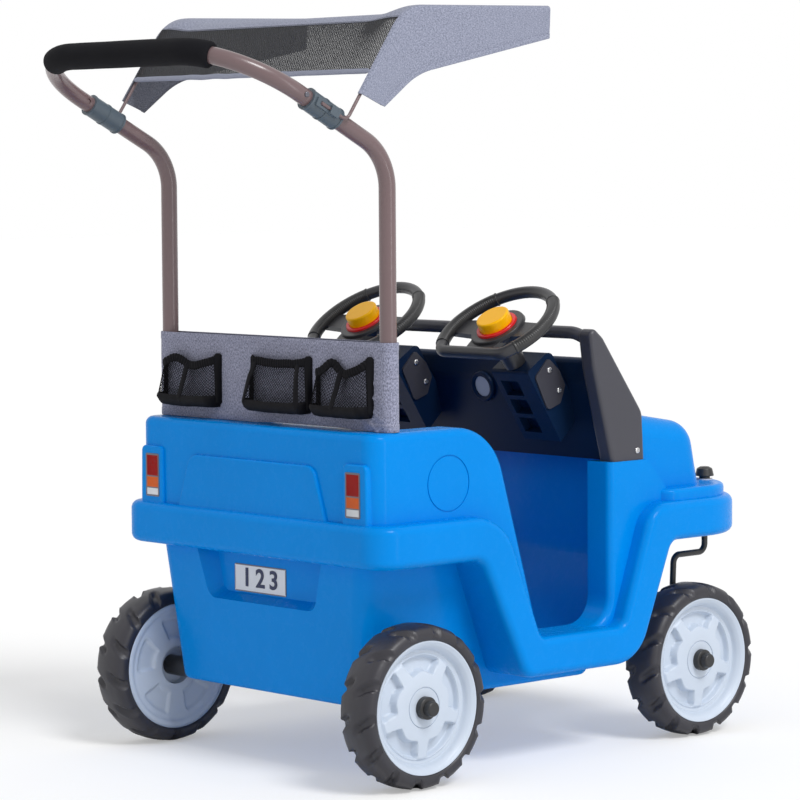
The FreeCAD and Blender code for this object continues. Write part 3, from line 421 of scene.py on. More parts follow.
CAD_FINISHES: dict[Finish, tuple[str, ...]] = {
    Finish.BODY: ("body_shell",),
    Finish.DASH: ("dash_console", "gauge_ring"),
    Finish.POST: ("windshield_frame", *pairs("dash_plate")),
    Finish.STEER: pairs("steering_wheel"),
    Finish.DISC: ("gauge_disc",),
    Finish.STEEL: ("dash_screws", "rear_axle", *pairs("steering_shaft")),
    Finish.CHROME: pairs("snap_button"),
    Finish.BLACK_ROD: pairs("caster_rod"),
    Finish.BLACK: pairs("axle_spacer", "caster_knob", "horn_bellows", "hub_cap_rear", "hub_cap_front"),
    Finish.TYRE: pairs("tyre_rear", "tyre_front"),
    Finish.RIM: pairs("rim_rear", "rim_front"),
    Finish.PALE: pairs("caster_bush"),
    Finish.RED: pairs("horn_ring", "tail_light"),
    Finish.YELLOW: pairs("horn_button"),
    Finish.TUBE: ("handle_tube", "canopy_frame", *pairs("pole")),
    Finish.SLEEVE: pairs("sleeve"),
    Finish.FOAM: ("foam_grip",),
    Finish.FOIL: ("number_plate",),
    Finish.CANOPY: ("canopy_top", "canopy_binding"),
    Finish.CADDY: ("caddy_panel",),
    Finish.CANOPY_NET: ("canopy_mesh",),
    Finish.NET: ("pocket_middle", *pairs("pocket")),
}


def paint(piece: bpy.types.Object, *looks: Finish) -> None:
    """Give a piece these finishes alone, in order.

    Args:
        piece: The piece.
        looks: Its finishes, one for each material slot.
    """
    piece.data.materials.clear()
    for look in looks:
        piece.data.materials.append(look.material())


def dress_solids() -> None:
    """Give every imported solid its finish."""
    for look, names in CAD_FINISHES.items():
        for name in names:
            paint(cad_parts[name], look)


def link(name: str, data: bpy.types.ID) -> bpy.types.Object:
    """Make an object of a mesh, light or camera and link it into the scene.

    Args:
        name: Name of the object.
        data: What it shows.

    Returns:
        The object.
    """
    made = bpy.data.objects.new(name, data)
    bpy.context.scene.collection.objects.link(made)
    return made


def only(piece: bpy.types.Object) -> None:
    """Select one piece alone and make it active.

    Args:
        piece: The piece.
    """
    bpy.ops.object.select_all(action="DESELECT")
    piece.select_set(True)
    bpy.context.view_layer.objects.active = piece


def grid(name: str, columns: int, rows: int, place: Callable[[int, int], Vector],
         flat: Callable[[int, int], Pair] | None = None) -> bpy.types.Object:
    """Add a grid and move each of its points to its place.

    Args:
        name: Name of the piece.
        columns: Faces along the first direction.
        rows: Faces along the second direction.
        place: Gives a point from its column and row.
        flat: Gives the place in the flat cloth, in metres, for the weave.

    Returns:
        The new piece.
    """
    bpy.ops.object.select_all(action="DESELECT")
    bpy.ops.mesh.primitive_grid_add(x_subdivisions=columns, y_subdivisions=rows, size=1.0)
    piece = bpy.context.object
    piece.name = piece.data.name = name
    for vertex in piece.data.vertices:
        vertex.co = place(round((vertex.co.x + 0.5) * columns), round((vertex.co.y + 0.5) * rows))
    layer = piece.data.uv_layers[0]
    layer.name = WEAVE_MAP
    if flat:
        for corner in layer.uv:
            corner.vector = flat(round(corner.vector[0] * columns), round(corner.vector[1] * rows))
    return piece


def apply(piece: bpy.types.Object, kind: str, **settings: object) -> None:
    """Add a modifier with its settings and apply it.

    Args:
        piece: The piece to change.
        kind: Blender's name of the modifier type.
        settings: The modifier's properties.
    """
    only(piece)
    made = piece.modifiers.new(kind.lower(), kind)
    for name, value in settings.items():
        setattr(made, name, value)
    bpy.ops.object.modifier_apply(modifier=made.name)


@contextmanager
def editing(piece: bpy.types.Object) -> Iterator[None]:
    """Hold a piece in edit mode with everything selected.

    Args:
        piece: The piece to edit.

    Returns:
        A context that ends in object mode.
    """
    only(piece)
    bpy.ops.object.mode_set(mode="EDIT")
    bpy.ops.mesh.select_all(action="SELECT")
    yield
    bpy.ops.object.mode_set(mode="OBJECT")


def close(piece: bpy.types.Object, gap: float = 1e-5) -> None:
    """Merge doubled points and turn the faces outwards.

    Args:
        piece: The piece to change.
        gap: Distance within which points merge.
    """
    with editing(piece):
        bpy.ops.mesh.remove_doubles(threshold=gap)
        bpy.ops.mesh.normals_make_consistent(inside=False)


def face_towards(piece: bpy.types.Object, way: Vector) -> None:
    """Flip a sheet's faces if the one furthest along a direction looks back.

    Args:
        piece: The sheet.
        way: The direction that its outer side looks in there.
    """
    first = max(piece.data.polygons, key=lambda face: face.center.dot(way))
    if first.normal.dot(way) < 0:
        with editing(piece):
            bpy.ops.mesh.flip_normals()


def choose(piece: bpy.types.Object, kind: str, wanted: Callable[[object], bool]) -> None:
    """Enter edit mode with the edges or faces that pass a test selected.

    Args:
        piece: The piece.
        kind: EDGE or FACE.
        wanted: Test on a mesh edge or a polygon.
    """
    only(piece)
    bpy.ops.object.mode_set(mode="EDIT")
    bpy.ops.mesh.select_mode(type=kind)
    bpy.ops.mesh.select_all(action="DESELECT")
    bpy.ops.object.mode_set(mode="OBJECT")
    for part in piece.data.edges if kind == "EDGE" else piece.data.polygons:
        part.select = wanted(part)
    bpy.ops.object.mode_set(mode="EDIT")


def drop_faces(piece: bpy.types.Object, unwanted: Callable[[Vector], bool]) -> None:
    """Delete the faces whose middle passes a test.

    Args:
        piece: The piece to change.
        unwanted: Test on a face's middle point.
    """
    choose(piece, "FACE", lambda face: unwanted(face.center))
    bpy.ops.mesh.delete(type="FACE")
    bpy.ops.object.mode_set(mode="OBJECT")


def seal(piece: bpy.types.Object, fill: Callable[[], object]) -> None:
    """Fill a piece's open edges and turn its faces outwards.

    Args:
        piece: The piece to close.
        fill: Operator that fills the selected edges.
    """
    choose(piece, "EDGE", lambda edge: False)
    bpy.ops.mesh.select_non_manifold()
    fill()
    bpy.ops.mesh.select_all(action="SELECT")
    bpy.ops.mesh.normals_make_consistent(inside=False)
    bpy.ops.object.mode_set(mode="OBJECT")


def knot_net(piece: bpy.types.Object, strand: float) -> None:
    """Turn a grid sheet into a net of diamond cells.

    Args:
        piece: The grid sheet.
        strand: Thickness of a strand, in millimetres.
    """
    corners = len(piece.data.vertices)
    with editing(piece):
        bpy.ops.mesh.poke()
    uses: dict[tuple[int, int], int] = {}
    for face in piece.data.polygons:
        for key in face.edge_keys:
            uses[key] = uses.get(key, 0) + 1
    choose(piece, "EDGE", lambda edge: max(edge.vertices) < corners and uses[edge.key] == 2)
    bpy.ops.mesh.dissolve_edges(use_verts=False)
    bpy.ops.object.mode_set(mode="OBJECT")
    apply(piece, "WIREFRAME", thickness=strand * MM, use_even_offset=False)


def join(pieces: Sequence[bpy.types.Object], name: str) -> bpy.types.Object:
    """Join pieces into the first one.

    Args:
        pieces: The pieces.
        name: Name of the joined piece.

    Returns:
        The joined piece.
    """
    only(pieces[0])
    for piece in pieces:
        piece.select_set(True)
    bpy.ops.object.join()
    pieces[0].name = pieces[0].data.name = name
    return pieces[0]


def twin(piece: bpy.types.Object, name: str, shift: Vector) -> bpy.types.Object:
    """Copy a piece with its own mesh.

    Args:
        piece: The piece to copy.
        name: Name of the copy.
        shift: How far the copy moves.

    Returns:
        The copy.
    """
    copy = link(name, piece.data.copy())
    copy.data.name = name
    copy.data.transform(Matrix.Translation(shift))
    return copy


def finish(piece: bpy.types.Object, look: Finish, body: str, slot: str, *nodes: str,
           angle: float = 40.0) -> None:
    """Give a piece its finish, its body and the solids that it stands for.

    Args:
        piece: The piece.
        look: Its finish, where it has none yet.
        body: The body that it rides on.
        slot: Name of a material slot; not used.
        nodes: Solids that it replaces.
        angle: Edges sharper than this many degrees stay sharp.
    """
    if not piece.data.materials:
        paint(piece, look)
    only(piece)
    bpy.ops.object.shade_smooth_by_angle(angle=math.radians(angle))
    if nodes:
        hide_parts(*nodes)
    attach(piece, body)
    LOG.info("%s: %d faces on %s", piece.name, len(piece.data.polygons), body)


def rounded(corners: Sequence[Corner]) -> list[Vector]:
    """Points along straight stretches with round corners.

    Args:
        corners: Two coordinates and a radius each, in millimetres.

    Returns:
        The points as 2-D vectors.
    """
    points: list[Vector] = []
    for i, (a, b, radius) in enumerate(corners):
        here = Vector((a, b))
        if radius == 0 or i in (0, len(corners) - 1):
            points.append(here)
            continue
        back = (Vector(corners[i - 1][:2]) - here).normalized()
        ahead = (Vector(corners[i + 1][:2]) - here).normalized()
        half = back.angle(ahead) / 2
        centre = here + (back + ahead).normalized() * (radius / math.sin(half))
        start = here + back * (radius / math.tan(half)) - centre
        turn = 1 if start.x * -back.y + start.y * back.x > 0 else -1
        for k in range(ARC_STEPS + 1):
            angle = turn * (math.pi - 2 * half) * k / ARC_STEPS
            points.append(centre + Vector((start.x * math.cos(angle) - start.y * math.sin(angle),
                                           start.x * math.sin(angle) + start.y * math.cos(angle))))
    return points


def reach(points: Sequence[Vector]) -> list[float]:
    """Measure a run.

    Args:
        points: The run's corners.

    Returns:
        Its length up to each of them.
    """
    lengths = [0.0]
    for first, second in zip(points, points[1:]):
        lengths.append(lengths[-1] + (second - first).length)
    return lengths


def even(points: Sequence[Vector], count: int) -> list[Vector]:
    """Space points evenly along a run.

    Args:
        points: The run's corners.
        count: Number of points wanted.

    Returns:
        The points.
    """
    lengths = reach(points)
    spaced = []
    k = 0
    for i in range(count):
        want = lengths[-1] * i / (count - 1)
        while k < len(points) - 2 and lengths[k + 1] < want:
            k += 1
        share = (want - lengths[k]) / max(lengths[k + 1] - lengths[k], 1e-9)
        spaced.append(points[k].lerp(points[k + 1], min(share, 1.0)))
    return spaced


def tape(name: str, line: Sequence[Vector], out: Sequence[Vector], half: Pair,
         gathers: int = 0) -> bpy.types.Object:
    """Model a sewn tape as a flat closed tube along a line.

    Args:
        name: Name of the piece.
        line: Its middle line, in millimetres from the rear axle.
        out: The way its flat side looks at each point.
        half: Half its width and half its thickness.
        gathers: Number of puckers along it.

    Returns:
        The tape.
    """
    last = len(line) - 1
    around = 12

    def squared(value: float, power: float) -> float:
        """Raise a sine or cosine to a power and keep its sign, for a flat tube with full corners."""
        return math.copysign(abs(value) ** power, value)

    def place(i: int, k: int) -> Vector:
        """Point on the tape.

        Args:
            i: Step along it.
            k: Step round it.

        Returns:
            The point in metres.
        """
        way = (line[min(i + 1, last)] - line[max(i - 1, 0)]).normalized()
        across = way.cross(out[i]).normalized()
        turn = math.tau * k / around
        pucker = math.sin(math.tau * gathers * i / last) if gathers else 0.0
        end = 0.45 if i in (0, last) else 1.0
        wide = half[0] * end * (1 + 0.07 * pucker) * squared(math.cos(turn), 0.6)
        thick = half[1] * end * (1 + 0.42 * pucker) * squared(math.sin(turn), 0.8)
        return row(*(line[i] + across * wide + out[i] * thick))

    piece = grid(name, last, around, place)
    close(piece)
    seal(piece, partial(bpy.ops.mesh.fill_holes, sides=around))
    return piece


@dataclass
class Wheels:
    """Four wheels: deep-grooved tyres on star rims, in millimetres."""

    tyre_radius: float = 123.0
    rim_radius: float = 100.0
    width: float = 66.0
    grooves: int = 14
    groove_depth: float = 7.0
    arms: int = 5
    bore: float = 5.05
    well_radius: float = 30.0
    well_depth: float = 22.0
    rear_y: float = 326.0
    front_y: float = 293.5
    wheelbase: float = 635.0

    def tyre_profile(self) -> list[Pair]:
        """Outline of the tyre.

        Returns:
            Points (radius, depth) from the outer bead over the tread to the inner bead.
        """
        half = [(100.0, -2.5), (101.5, -1.0), (104.0, -0.4), (107.0, 0.0), (109.5, 0.0), (112.0, -0.5),
                (114.3, -1.6), (116.4, -3.2), (118.2, -5.4), (119.5, -8.0), (120.5, -11.0), (121.2, -14.0),
                (121.7, -17.5), (122.1, -21.0), (122.5, -24.5), (122.8, -28.0), (123.0, -31.5)]
        return half + [(radius, -self.width - depth) for radius, depth in reversed(half)]

    def groove(self, radius: float, depth: float, turn: float) -> float:
        """Depth of the slanted grooves at a place on the tyre.

        Args:
            radius: Distance from the axle.
            depth: Distance in from the outer face, below 0.
            turn: Angle round the wheel, in radians.

        Returns:
            How far the surface sinks.
        """
        off = depth + self.width / 2
        wide = abs(off)
        pitch = math.tau / self.grooves
        slant = 0.0056 * wide
        phase = turn - (slant if off > 0 else -slant) - (0 if off > 0 else pitch / 2)
        near = abs((phase + pitch / 2) % pitch - pitch / 2) * self.tyre_radius
        across = 1 - smooth(2.4 + 0.1 * wide, 6.6 + 0.12 * wide, near)
        inward = smooth(2, 13, wide) * smooth(104.5, 111, radius)
        lip = 0.8 * (1 - smooth(0, 3, abs(near - 11))) * smooth(6, 14, wide) * smooth(110, 116, radius)
        return (self.groove_depth * across - lip) * inward

    def tyre(self, s: float) -> bpy.types.Object:
        """Model one rear tyre.

        Args:
            s: 1 on the car's left, -1 on its right.

        Returns:
            The tyre.
        """
        profile = self.tyre_profile()
        profile.append(profile[0])
        steps = self.grooves * 24

        def place(i: int, k: int) -> Vector:
            """Point on the tyre.

            Args:
                i: Step along its outline.
                k: Step round the wheel.

            Returns:
                The point in metres.
            """
            radius, depth = profile[i]
            turn = math.tau * k / steps
            middle = 0.8 * (1 - smooth(0, 2.2, abs(depth + self.width / 2)))
            radius -= self.groove(radius, depth, turn) + middle
            return row(radius * math.sin(turn), s * (self.rear_y + depth), AXLE_Z + radius * math.cos(turn))

        piece = grid("tyre", len(profile) - 1, steps, place)
        close(piece)
        return piece

    def rim_depth(self, radius: float, turn: float) -> float:
        """Depth of the rim's outer face.

        Args:
            radius: Distance from the axle.
            turn: Angle from straight down, in radians.

        Returns:
            Depth below the tyre's outer face, below 0.
        """
        pitch = math.tau / self.arms
        off = abs((turn + pitch / 2) % pitch - pitch / 2)
        from_arm = radius * math.sin(off)
        cone = -9.0 - 5.5 * smooth(30, 82, radius)
        dish = -18.5 + 15.0 * smooth(80, 96, radius) + 1.6 * smooth(95.5, 97.5, radius)
        depth = cone + (dish - cone) * smooth(75, 81, radius)
        half_arm = 10.5 - 2.0 * smooth(52, 76, radius)
        inner = 50.0 + 3.0 * smooth(0.25, 0.6, off)
        pocket = smooth(inner, inner + 3.5, radius) * (1 - smooth(73, 78.5, radius))
        pocket *= smooth(half_arm, half_arm + 3.4, from_arm)
        step = 2.0 * smooth(83.5, 85, radius) * (1 - smooth(86.5, 88, radius))
        ring = 1.4 * smooth(29.2, 29.7, radius) * (1 - smooth(30.4, 30.9, radius))
        return depth - 12.0 * pocket - step - ring

    def back_depth(self, radius: float, turn: float) -> float:
        """Depth of the rim's inner face.

        Args:
            radius: Distance from the axle.
            turn: Angle from straight down, in radians.

        Returns:
            Depth below the tyre's outer face, below 0.
        """
        pitch = math.tau / self.arms
        off = abs((turn + pitch) % pitch - pitch / 2)
        across = radius * math.sin(off)
        wide = 12 + 12 * smooth(44, 78, radius)
        pocket = (1 - smooth(wide, wide + 5, across)) * smooth(43, 48, radius) * (1 - smooth(74, 80, radius))
        flat = -self.width + 7 - 3.5 * smooth(87, 91, radius)
        return flat + 4.5 * pocket + 2.0 * smooth(97, 100, radius)

    def rim(self, s: float) -> bpy.types.Object:
        """Model one rear rim.

        Args:
            s: 1 on the car's left, -1 on its right.

        Returns:
            The rim.
        """
        front = [self.bore, 12, 18, 24, 28.6, 29.2, 29.7, 30.4, 30.9, 33, 40, 46, 49]
        front += [50 + 0.9 * k for k in range(6)] + [57, 61, 65, 69, 72]
        front += [73 + 1.0 * k for k in range(9)]
        front += [83.5, 84.2, 85, 86.5, 87.2, 88, 90, 92, 94, 95.5, 96.4, 97.5, 99.4]
        back = [99.4, 97, 95, 91, 89, 87, 83, 80, 78, 76, 74, 70, 62, 54, 48, 46, 44.5, 43, 38, 34]
        back.append(self.well_radius)
        floor = -self.width + self.well_depth
        loop: list[tuple[float, float | None, bool]] = [(radius, None, True) for radius in front]
        loop += [(self.rim_radius, -3.0, True), (self.rim_radius, 2.5 - self.width, True)]
        loop += [(radius, None, False) for radius in back]
        loop += [(self.well_radius, floor, True), (self.bore, floor, True)]
        loop.append(loop[0])
        steps = 250

        def place(i: int, k: int) -> Vector:
            """Point on the rim.

            Args:
                i: Step along its outline.
                k: Step round the wheel.

            Returns:
                The point in metres.
            """
            radius, fixed, outer = loop[i]
            turn = math.tau * k / steps
            surface = self.rim_depth if outer else self.back_depth
            depth = surface(radius, turn) if fixed is None else fixed
            return row(-radius * math.sin(turn), s * (self.rear_y + depth), AXLE_Z - radius * math.cos(turn))

        piece = grid("rim", len(loop) - 1, steps, place)
        close(piece)
        return piece

    def build(self) -> None:
        """Model the wheels and set them on their bodies."""
        for side, s in SIDES:
            for kind, model, look, slot in (("tyre", self.tyre, Finish.TYRE, "tyre_black"),
                                            ("rim", self.rim, Finish.RIM, "rim_white")):
                rear = model(s)
                front = twin(rear, f"{kind}_front_{side}_shape",
                             Vector((self.wheelbase * MM, s * (self.front_y - self.rear_y) * MM, 0)))
                rear.name = rear.data.name = f"{kind}_rear_{side}_shape"
                for end, piece in (("rear", rear), ("front", front)):
                    finish(piece, look, f"wheel_{end}_{side}", slot, f"{kind}_{end}_{side}", angle=50)


class Zone(Enum):
    """Parts of the canopy's cover, from its hem up."""

    HEM = "hem"
    FLAP = "flap"
    BEND = "bend"
    TOP = "top"


@dataclass
class Canopy:
    """Sewn sun cover over its wire loop, with a net at the rear, in millimetres."""

    side_y: float = 283.0
    shoulder: float = 7.0
    foot: Pair = (-86.8, 1022.5)
    corner: Pair = (3.8, 1152.0)
    sunk: Pair = (-5.3, 1139.0)
    bend: float = 75.0
    front: Pair = (302.0, 1158.0)
    sag_y: Pair = (205.0, 264.0)
    seam_z: Pair = (1129.0, 1134.0)
    net_low_z: float = 1056.0
    net_y: float = 277.6
    leg_rise: float = 55.0
    rear_rows: int = 16
    front_rows: int = 44
    cloth: float = 1.6
    strand: float = 1.8
    flap_low: tuple[Corner, ...] = ((-39.0, 1002.5, 0.0), (27.0, 1051.5, 130.0), (299.0, 1108.0, 0.0))
    hem: float = 9.4
    stitch: float = 8.4
    tape_half: Pair = (4.6, 1.6)
    flat: Pair = (0.80, 0.48)

    def seam(self, y: float) -> float:
        """Give the height of the net's upper seam, which follows the sagging top."""
        low, high = self.seam_z
        return low + (high - low) * smooth(*self.sag_y, abs(y))

    def profile(self, corner: Pair, seam_z: float) -> list[Vector]:
        """Side line of the cover from its rear foot to its front edge.

        Args:
            corner: The rear bend's corner.
            seam_z: Height of the net's seam.

        Returns:
            Points (x, z), with one on the net's seam.
        """
        fine = even(rounded([(*self.foot, 0), (*corner, self.bend), (*self.front, 0)]), 900)
        seam = next(i for i, point in enumerate(fine) if point.y >= seam_z)
        return even(fine[:seam + 1], self.rear_rows + 1) + even(fine[seam:], self.front_rows + 1)[1:]

    def stations(self) -> list[tuple[Zone, float, float]]:
        """Lines across the cover.

        Returns:
            A part, a measure and a side for each line, from the left hem to the right hem.
        """
        half = [(Zone.HEM, at) for at in (0.0, 1.4, 4.5, 7.6, self.stitch, self.hem)]
        half += [(Zone.FLAP, share) for share in (0.1, 0.22, 0.35, 0.5, 0.65, 0.8, 0.92, 1.0)]
        half += [(Zone.BEND, angle) for angle in (25.0, 50.0, 76.8, 90.0)]
        half += [(Zone.TOP, y) for y in (272, 266, 258, 248, 236, 222, 206, 175, 140, 100, 50)]
        return ([(part, value, 1.0) for part, value in half] + [(Zone.TOP, 0.0, 1.0)]
                + [(part, value, -1.0) for part, value in reversed(half)])

    def cover(self) -> bpy.types.Object:
        """Model the cloth top with its two flaps.

        Returns:
            The cover.
        """
        middle, side = (self.profile(*line) for line in zip((self.sunk, self.corner), self.seam_z))
        low = even(rounded(self.flap_low), len(side))
        stations = self.stations()

        def spot(i: int, j: int) -> Vector:
            """Point on the cover.

            Args:
                i: Line across it, counted from the left hem.
                j: Step from its rear foot to its front edge.

            Returns:
                The point in millimetres.
            """
            part, value, s = stations[i]
            drop = side[j] - low[j]
            length = drop.length
            up = drop / length
            ease = noise.noise(Vector((side[j].x / 26, i / 4.0, s * 9)))
            if part is Zone.TOP:
                line = middle[j].lerp(side[j], smooth(*self.sag_y, value))
                pucker = 0.9 * ease * (1 - smooth(10, 60, line.x + 40))
                return Vector((line.x, s * value, line.y + pucker))
            if part is Zone.BEND:
                angle = math.radians(value)
                line = low[j] + up * (length - self.shoulder + self.shoulder * math.sin(angle))
                return Vector((line.x, s * (self.side_y - self.shoulder * (1 - math.cos(angle))), line.y))
            at = value if part is Zone.HEM else self.hem + value * (length - self.shoulder - self.hem)
            out = -0.25 if value == self.stitch else 0.0
            if part is Zone.HEM and 0 < value < self.stitch:
                out = 0.7
            line = low[j] + up * at
            rear = 1 - smooth(0.8 * self.rear_rows, 1.7 * self.rear_rows, j)
            inner = smooth(0, 12, at) * smooth(0, 12, length - self.shoulder - at)
            out += (0.5 + 1.6 * rear) * ease * inner
            return Vector((line.x, s * (self.side_y + out), line.y))

        across = reach([spot(i, len(side) // 2) for i in range(len(stations))])
        along = reach(side)
        piece = grid("canopy_cover", len(stations) - 1, len(side) - 1, lambda i, j: row(*spot(i, j)),
                     lambda i, j: (across[i] * MM, along[j] * MM))
        edge = (self.net_y - 0.2) * MM

        def in_net(point: Vector) -> bool:
            """Tell whether a point lies where the net is."""
            return abs(point.y) < edge and point.z < row(0, 0, self.seam(point.y / MM)).z

        drop_faces(piece, in_net)
        close(piece)
        face_towards(piece, UP)
        LOG.info("canopy cloth area %.4f", sum(face.area for face in piece.data.polygons))
        # The inside and the cut edges take the darker copy of the cloth, which is painted shade.
        paint(piece, Finish.CANOPY, Finish.LINING)
        apply(piece, "SOLIDIFY", thickness=self.cloth * MM, offset=-1.0, material_offset=1,
              material_offset_rim=1)
        return piece

    @cached_property
    def seam_x(self) -> list[float]:
        """Give the net seam's place at the middle and at the sides."""
        return [self.profile(*line)[self.rear_rows].x for line in zip((self.sunk, self.corner), self.seam_z)]

    def rear_spot(self, y: float, z: float) -> Vector:
        """Point on the rear panel.

        Args:
            y: Distance to the car's left.
            z: Height.

        Returns:
            The point in millimetres.
        """
        slope = math.tan(math.radians(self.leg_rise))
        seam = self.seam(y)
        share = min(max((z - self.net_low_z) / (seam - self.net_low_z), 0.0), 1.0)
        edge = self.seam_x[0] + (self.seam_x[1] - self.seam_x[0]) * smooth(*self.sag_y, abs(y))
        line = self.foot[0] + (z - self.foot[1]) / slope
        bow = 2.0 * math.sin(math.pi * share) * (1 - (y / self.net_y) ** 2)
        lift = edge - (self.foot[0] + (seam - self.foot[1]) / slope)
        return Vector((line + 1.4 + bow + lift * share ** 3, y, z))

    def net(self) -> bpy.types.Object:
        """Model the net between the rear seam and the binding.

        Returns:
            The net.
        """
        columns, rows = 110, 20

        def place(i: int, k: int) -> Vector:
            """Give the point at a column from the right and a row from below."""
            y = self.net_y * (2 * i / columns - 1)
            return row(*self.rear_spot(y, self.net_low_z + (self.seam(y) + 1 - self.net_low_z) * k / rows))

        piece = grid("canopy_net", columns, rows, place)
        knot_net(piece, self.strand)
        return piece

    def binding(self) -> bpy.types.Object:
        """Model the folded tape along the net's lower edge.

        Returns:
            The tape.
        """
        count = 90
        line = []
        for i in range(count + 1):
            y = -self.net_y + 2 * self.net_y * i / count
            spot = self.rear_spot(y, self.net_low_z - 1.5)
            line.append(spot + Vector((0, 0, 0.8 * noise.noise(Vector((y / 30, 2.0, 5.0))))))
        rise = math.radians(self.leg_rise)
        out = [swing(UP, -AHEAD, rise)] * (count + 1)
        return tape("canopy_tape", line, out, self.tape_half)

    def build(self) -> None:
        """Model the cover, the net and its tape."""
        cover, net, binding = self.cover(), self.net(), self.binding()
        finish(cover, Finish.CANOPY, "chassis", "cloth_grey", "canopy_top", angle=50)
        finish(net, Finish.CANOPY_NET, "chassis", "net_black", "canopy_mesh")
        finish(binding, Finish.CANOPY, "chassis", "cloth_grey", "canopy_binding", angle=60)


@dataclass(frozen=True)
class Bag:
    """Place and shape of one net pocket, in millimetres."""

    side: str
    y: float
    width: float
    rim: float
    sag: float
    pinch: float
    tapes: tuple[float, ...]
    hump: tuple[float, float, float]


@dataclass
class Caddy:
    """Cloth sleeve over both poles, with three net pockets, in millimetres."""

    pole_x: float = -12.0
    half_width: float = 272.6
    half_depth: float = 14.2
    low: float = 525.8
    lift: float = 2.2
    cloth: float = 1.6
    back_x: float = -27.7
    height: float = 132.0
    hem: float = 13.0
    strand: float = 1.2
    cell: float = 6.4
    bag_low: float = 545.0
    bag_cloth: float = 0.9
    bag_corner: float = 10.0
    plan_points: int = 61
    bags: tuple[Bag, ...] = (Bag("left", 181.0, 130.0, 619.0, 12.0, 5.0, (0.47,), (0.28, 0.17, 12.0)),
                             Bag("middle", -32.0, 134.0, 622.0, 3.0, 0.0, (0.15, 0.85), (0.0, 0.3, 3.0)),
                             Bag("right", -179.0, 116.0, 627.0, 19.0, 7.0, (0.47,), (0.32, 0.13, 17.0)))

    def panel(self) -> bpy.types.Object:
        """Model the cloth sleeve.

        Returns:
            The sleeve.
        """
        r = self.half_depth
        x, y = self.pole_x, self.half_width
        turn = r * 0.98
        loop = even(rounded([(x - r, 0, 0), (x - r, -y, turn), (x + r, -y, turn), (x + r, y, turn),
                             (x - r, y, turn), (x - r, 0, 0)]), 281)
        raised = (1.5, 7, 11)
        lower = [0, *raised, 12, self.hem]
        heights = lower + [self.hem + (self.height - 2 * self.hem) * k / 20 for k in range(1, 21)]
        heights += [self.height - at for at in reversed(lower[:-1])]
        hems = [at for low in raised for at in (low, self.height - low)]
        around = reach(loop)

        def place(i: int, k: int) -> Vector:
            """Point on the sleeve.

            Args:
                i: Step round it.
                k: Step up it.

            Returns:
                The point in metres.
            """
            spot = loop[i]
            share = heights[k] / heights[-1]
            lift = self.lift * smooth(-215, -150, spot.y) * (1 - smooth(-20, 40, spot.y)) * (1 - share) ** 2
            z = self.low + heights[k] + lift
            centre = Vector((x, max(min(spot.y, y - r), r - y)))
            away = (spot - centre).normalized()
            hem = 0.5 if heights[k] in hems else 0.0
            end = smooth(200, 235, -spot.y) * (1 - smooth(252, 268, -spot.y))
            end *= 1 - smooth(0.35, 0.75, share)
            wander = 1.5 * noise.noise(Vector((spot.y / 30, z / 22, 3)))
            crease = max(0.0, math.sin((z - 0.45 * spot.y) / 3.6 + wander))
            soft = noise.noise(Vector((spot.y / 60, z / 45, 8 + math.copysign(3, away.x))))
            out = hem + 3.4 * end * crease ** 3 + 0.7 * max(0.0, soft)
            return row(spot.x + away.x * out, spot.y + away.y * out, z)

        piece = grid("caddy_sleeve", len(loop) - 1, len(heights) - 1, place,
                     lambda i, k: (around[i] * MM, heights[k] * MM))
        close(piece)
        face_towards(piece, -AHEAD)
        area = sum(face.area for face in piece.data.polygons)
        LOG.info("caddy cloth area %.4f, round %.1f", area, around[-1])
        apply(piece, "SOLIDIFY", thickness=self.cloth * MM, offset=-1.0)
        return piece

    def shell(self, bag: Bag, z: float) -> list[Vector]:
        """Plan line of a pocket from its left seam round its front to its right seam.

        Args:
            bag: The pocket.
            z: Height.

        Returns:
            Points (x, y), as many as plan_points says.
        """
        levels = ((self.bag_low, 20.0, -3.0), (559.0, 26.0, 0.0), (598.0, 17.0, -5.0), (625.0, 7.5, -9.0),
                  (650.0, 6.0, -9.0))
        for (low, deep, grow), (high, next_deep, next_grow) in zip(levels, levels[1:]):
            if z <= high:
                break
        share = max((z - low) / (high - low), 0.0)
        deep += (next_deep - deep) * share
        grow += (next_grow - grow) * share
        half = bag.width / 2
        front = self.back_x - deep
        corner = self.bag_corner
        line = even(rounded([(self.back_x, bag.y + half, 0), (front, bag.y + half + grow, corner),
                             (front, bag.y - half - grow, corner), (self.back_x, bag.y - half, 0)]),
                    self.plan_points)
        for i, point in enumerate(line):
            near = 1 - smooth(0, 0.2, abs(i / (self.plan_points - 1) - 0.5))
            point.x += bag.pinch * near * smooth(548, 600, z)
        return line

    def spot(self, bag: Bag, u: float, z: float, out: float = 0.0) -> Vector:
        """Point on a pocket.

        Args:
            bag: The pocket.
            u: Share of the way round, from 0 to 1.
            z: Height.
            out: Distance outwards.

        Returns:
            The point in millimetres.
        """
        line = self.shell(bag, z)
        last = self.plan_points - 1
        at = min(max(u, 0.0), 1.0) * last
        k = min(int(at), last - 1)
        point = line[k].lerp(line[k + 1], at - k)
        way = self.outward(bag, u, z)
        return Vector((point.x, point.y, z)) + way * out

    def outward(self, bag: Bag, u: float, z: float) -> Vector:
        """Level direction that looks out of a pocket.

        Args:
            bag: The pocket.
            u: Share of the way round, from 0 to 1.
            z: Height.

        Returns:
            The direction.
        """
        line = self.shell(bag, z)
        last = self.plan_points - 1
        k = min(max(round(u * last), 1), last - 1)
        way = line[k + 1] - line[k - 1]
        return Vector((way.y, -way.x, 0)).normalized()

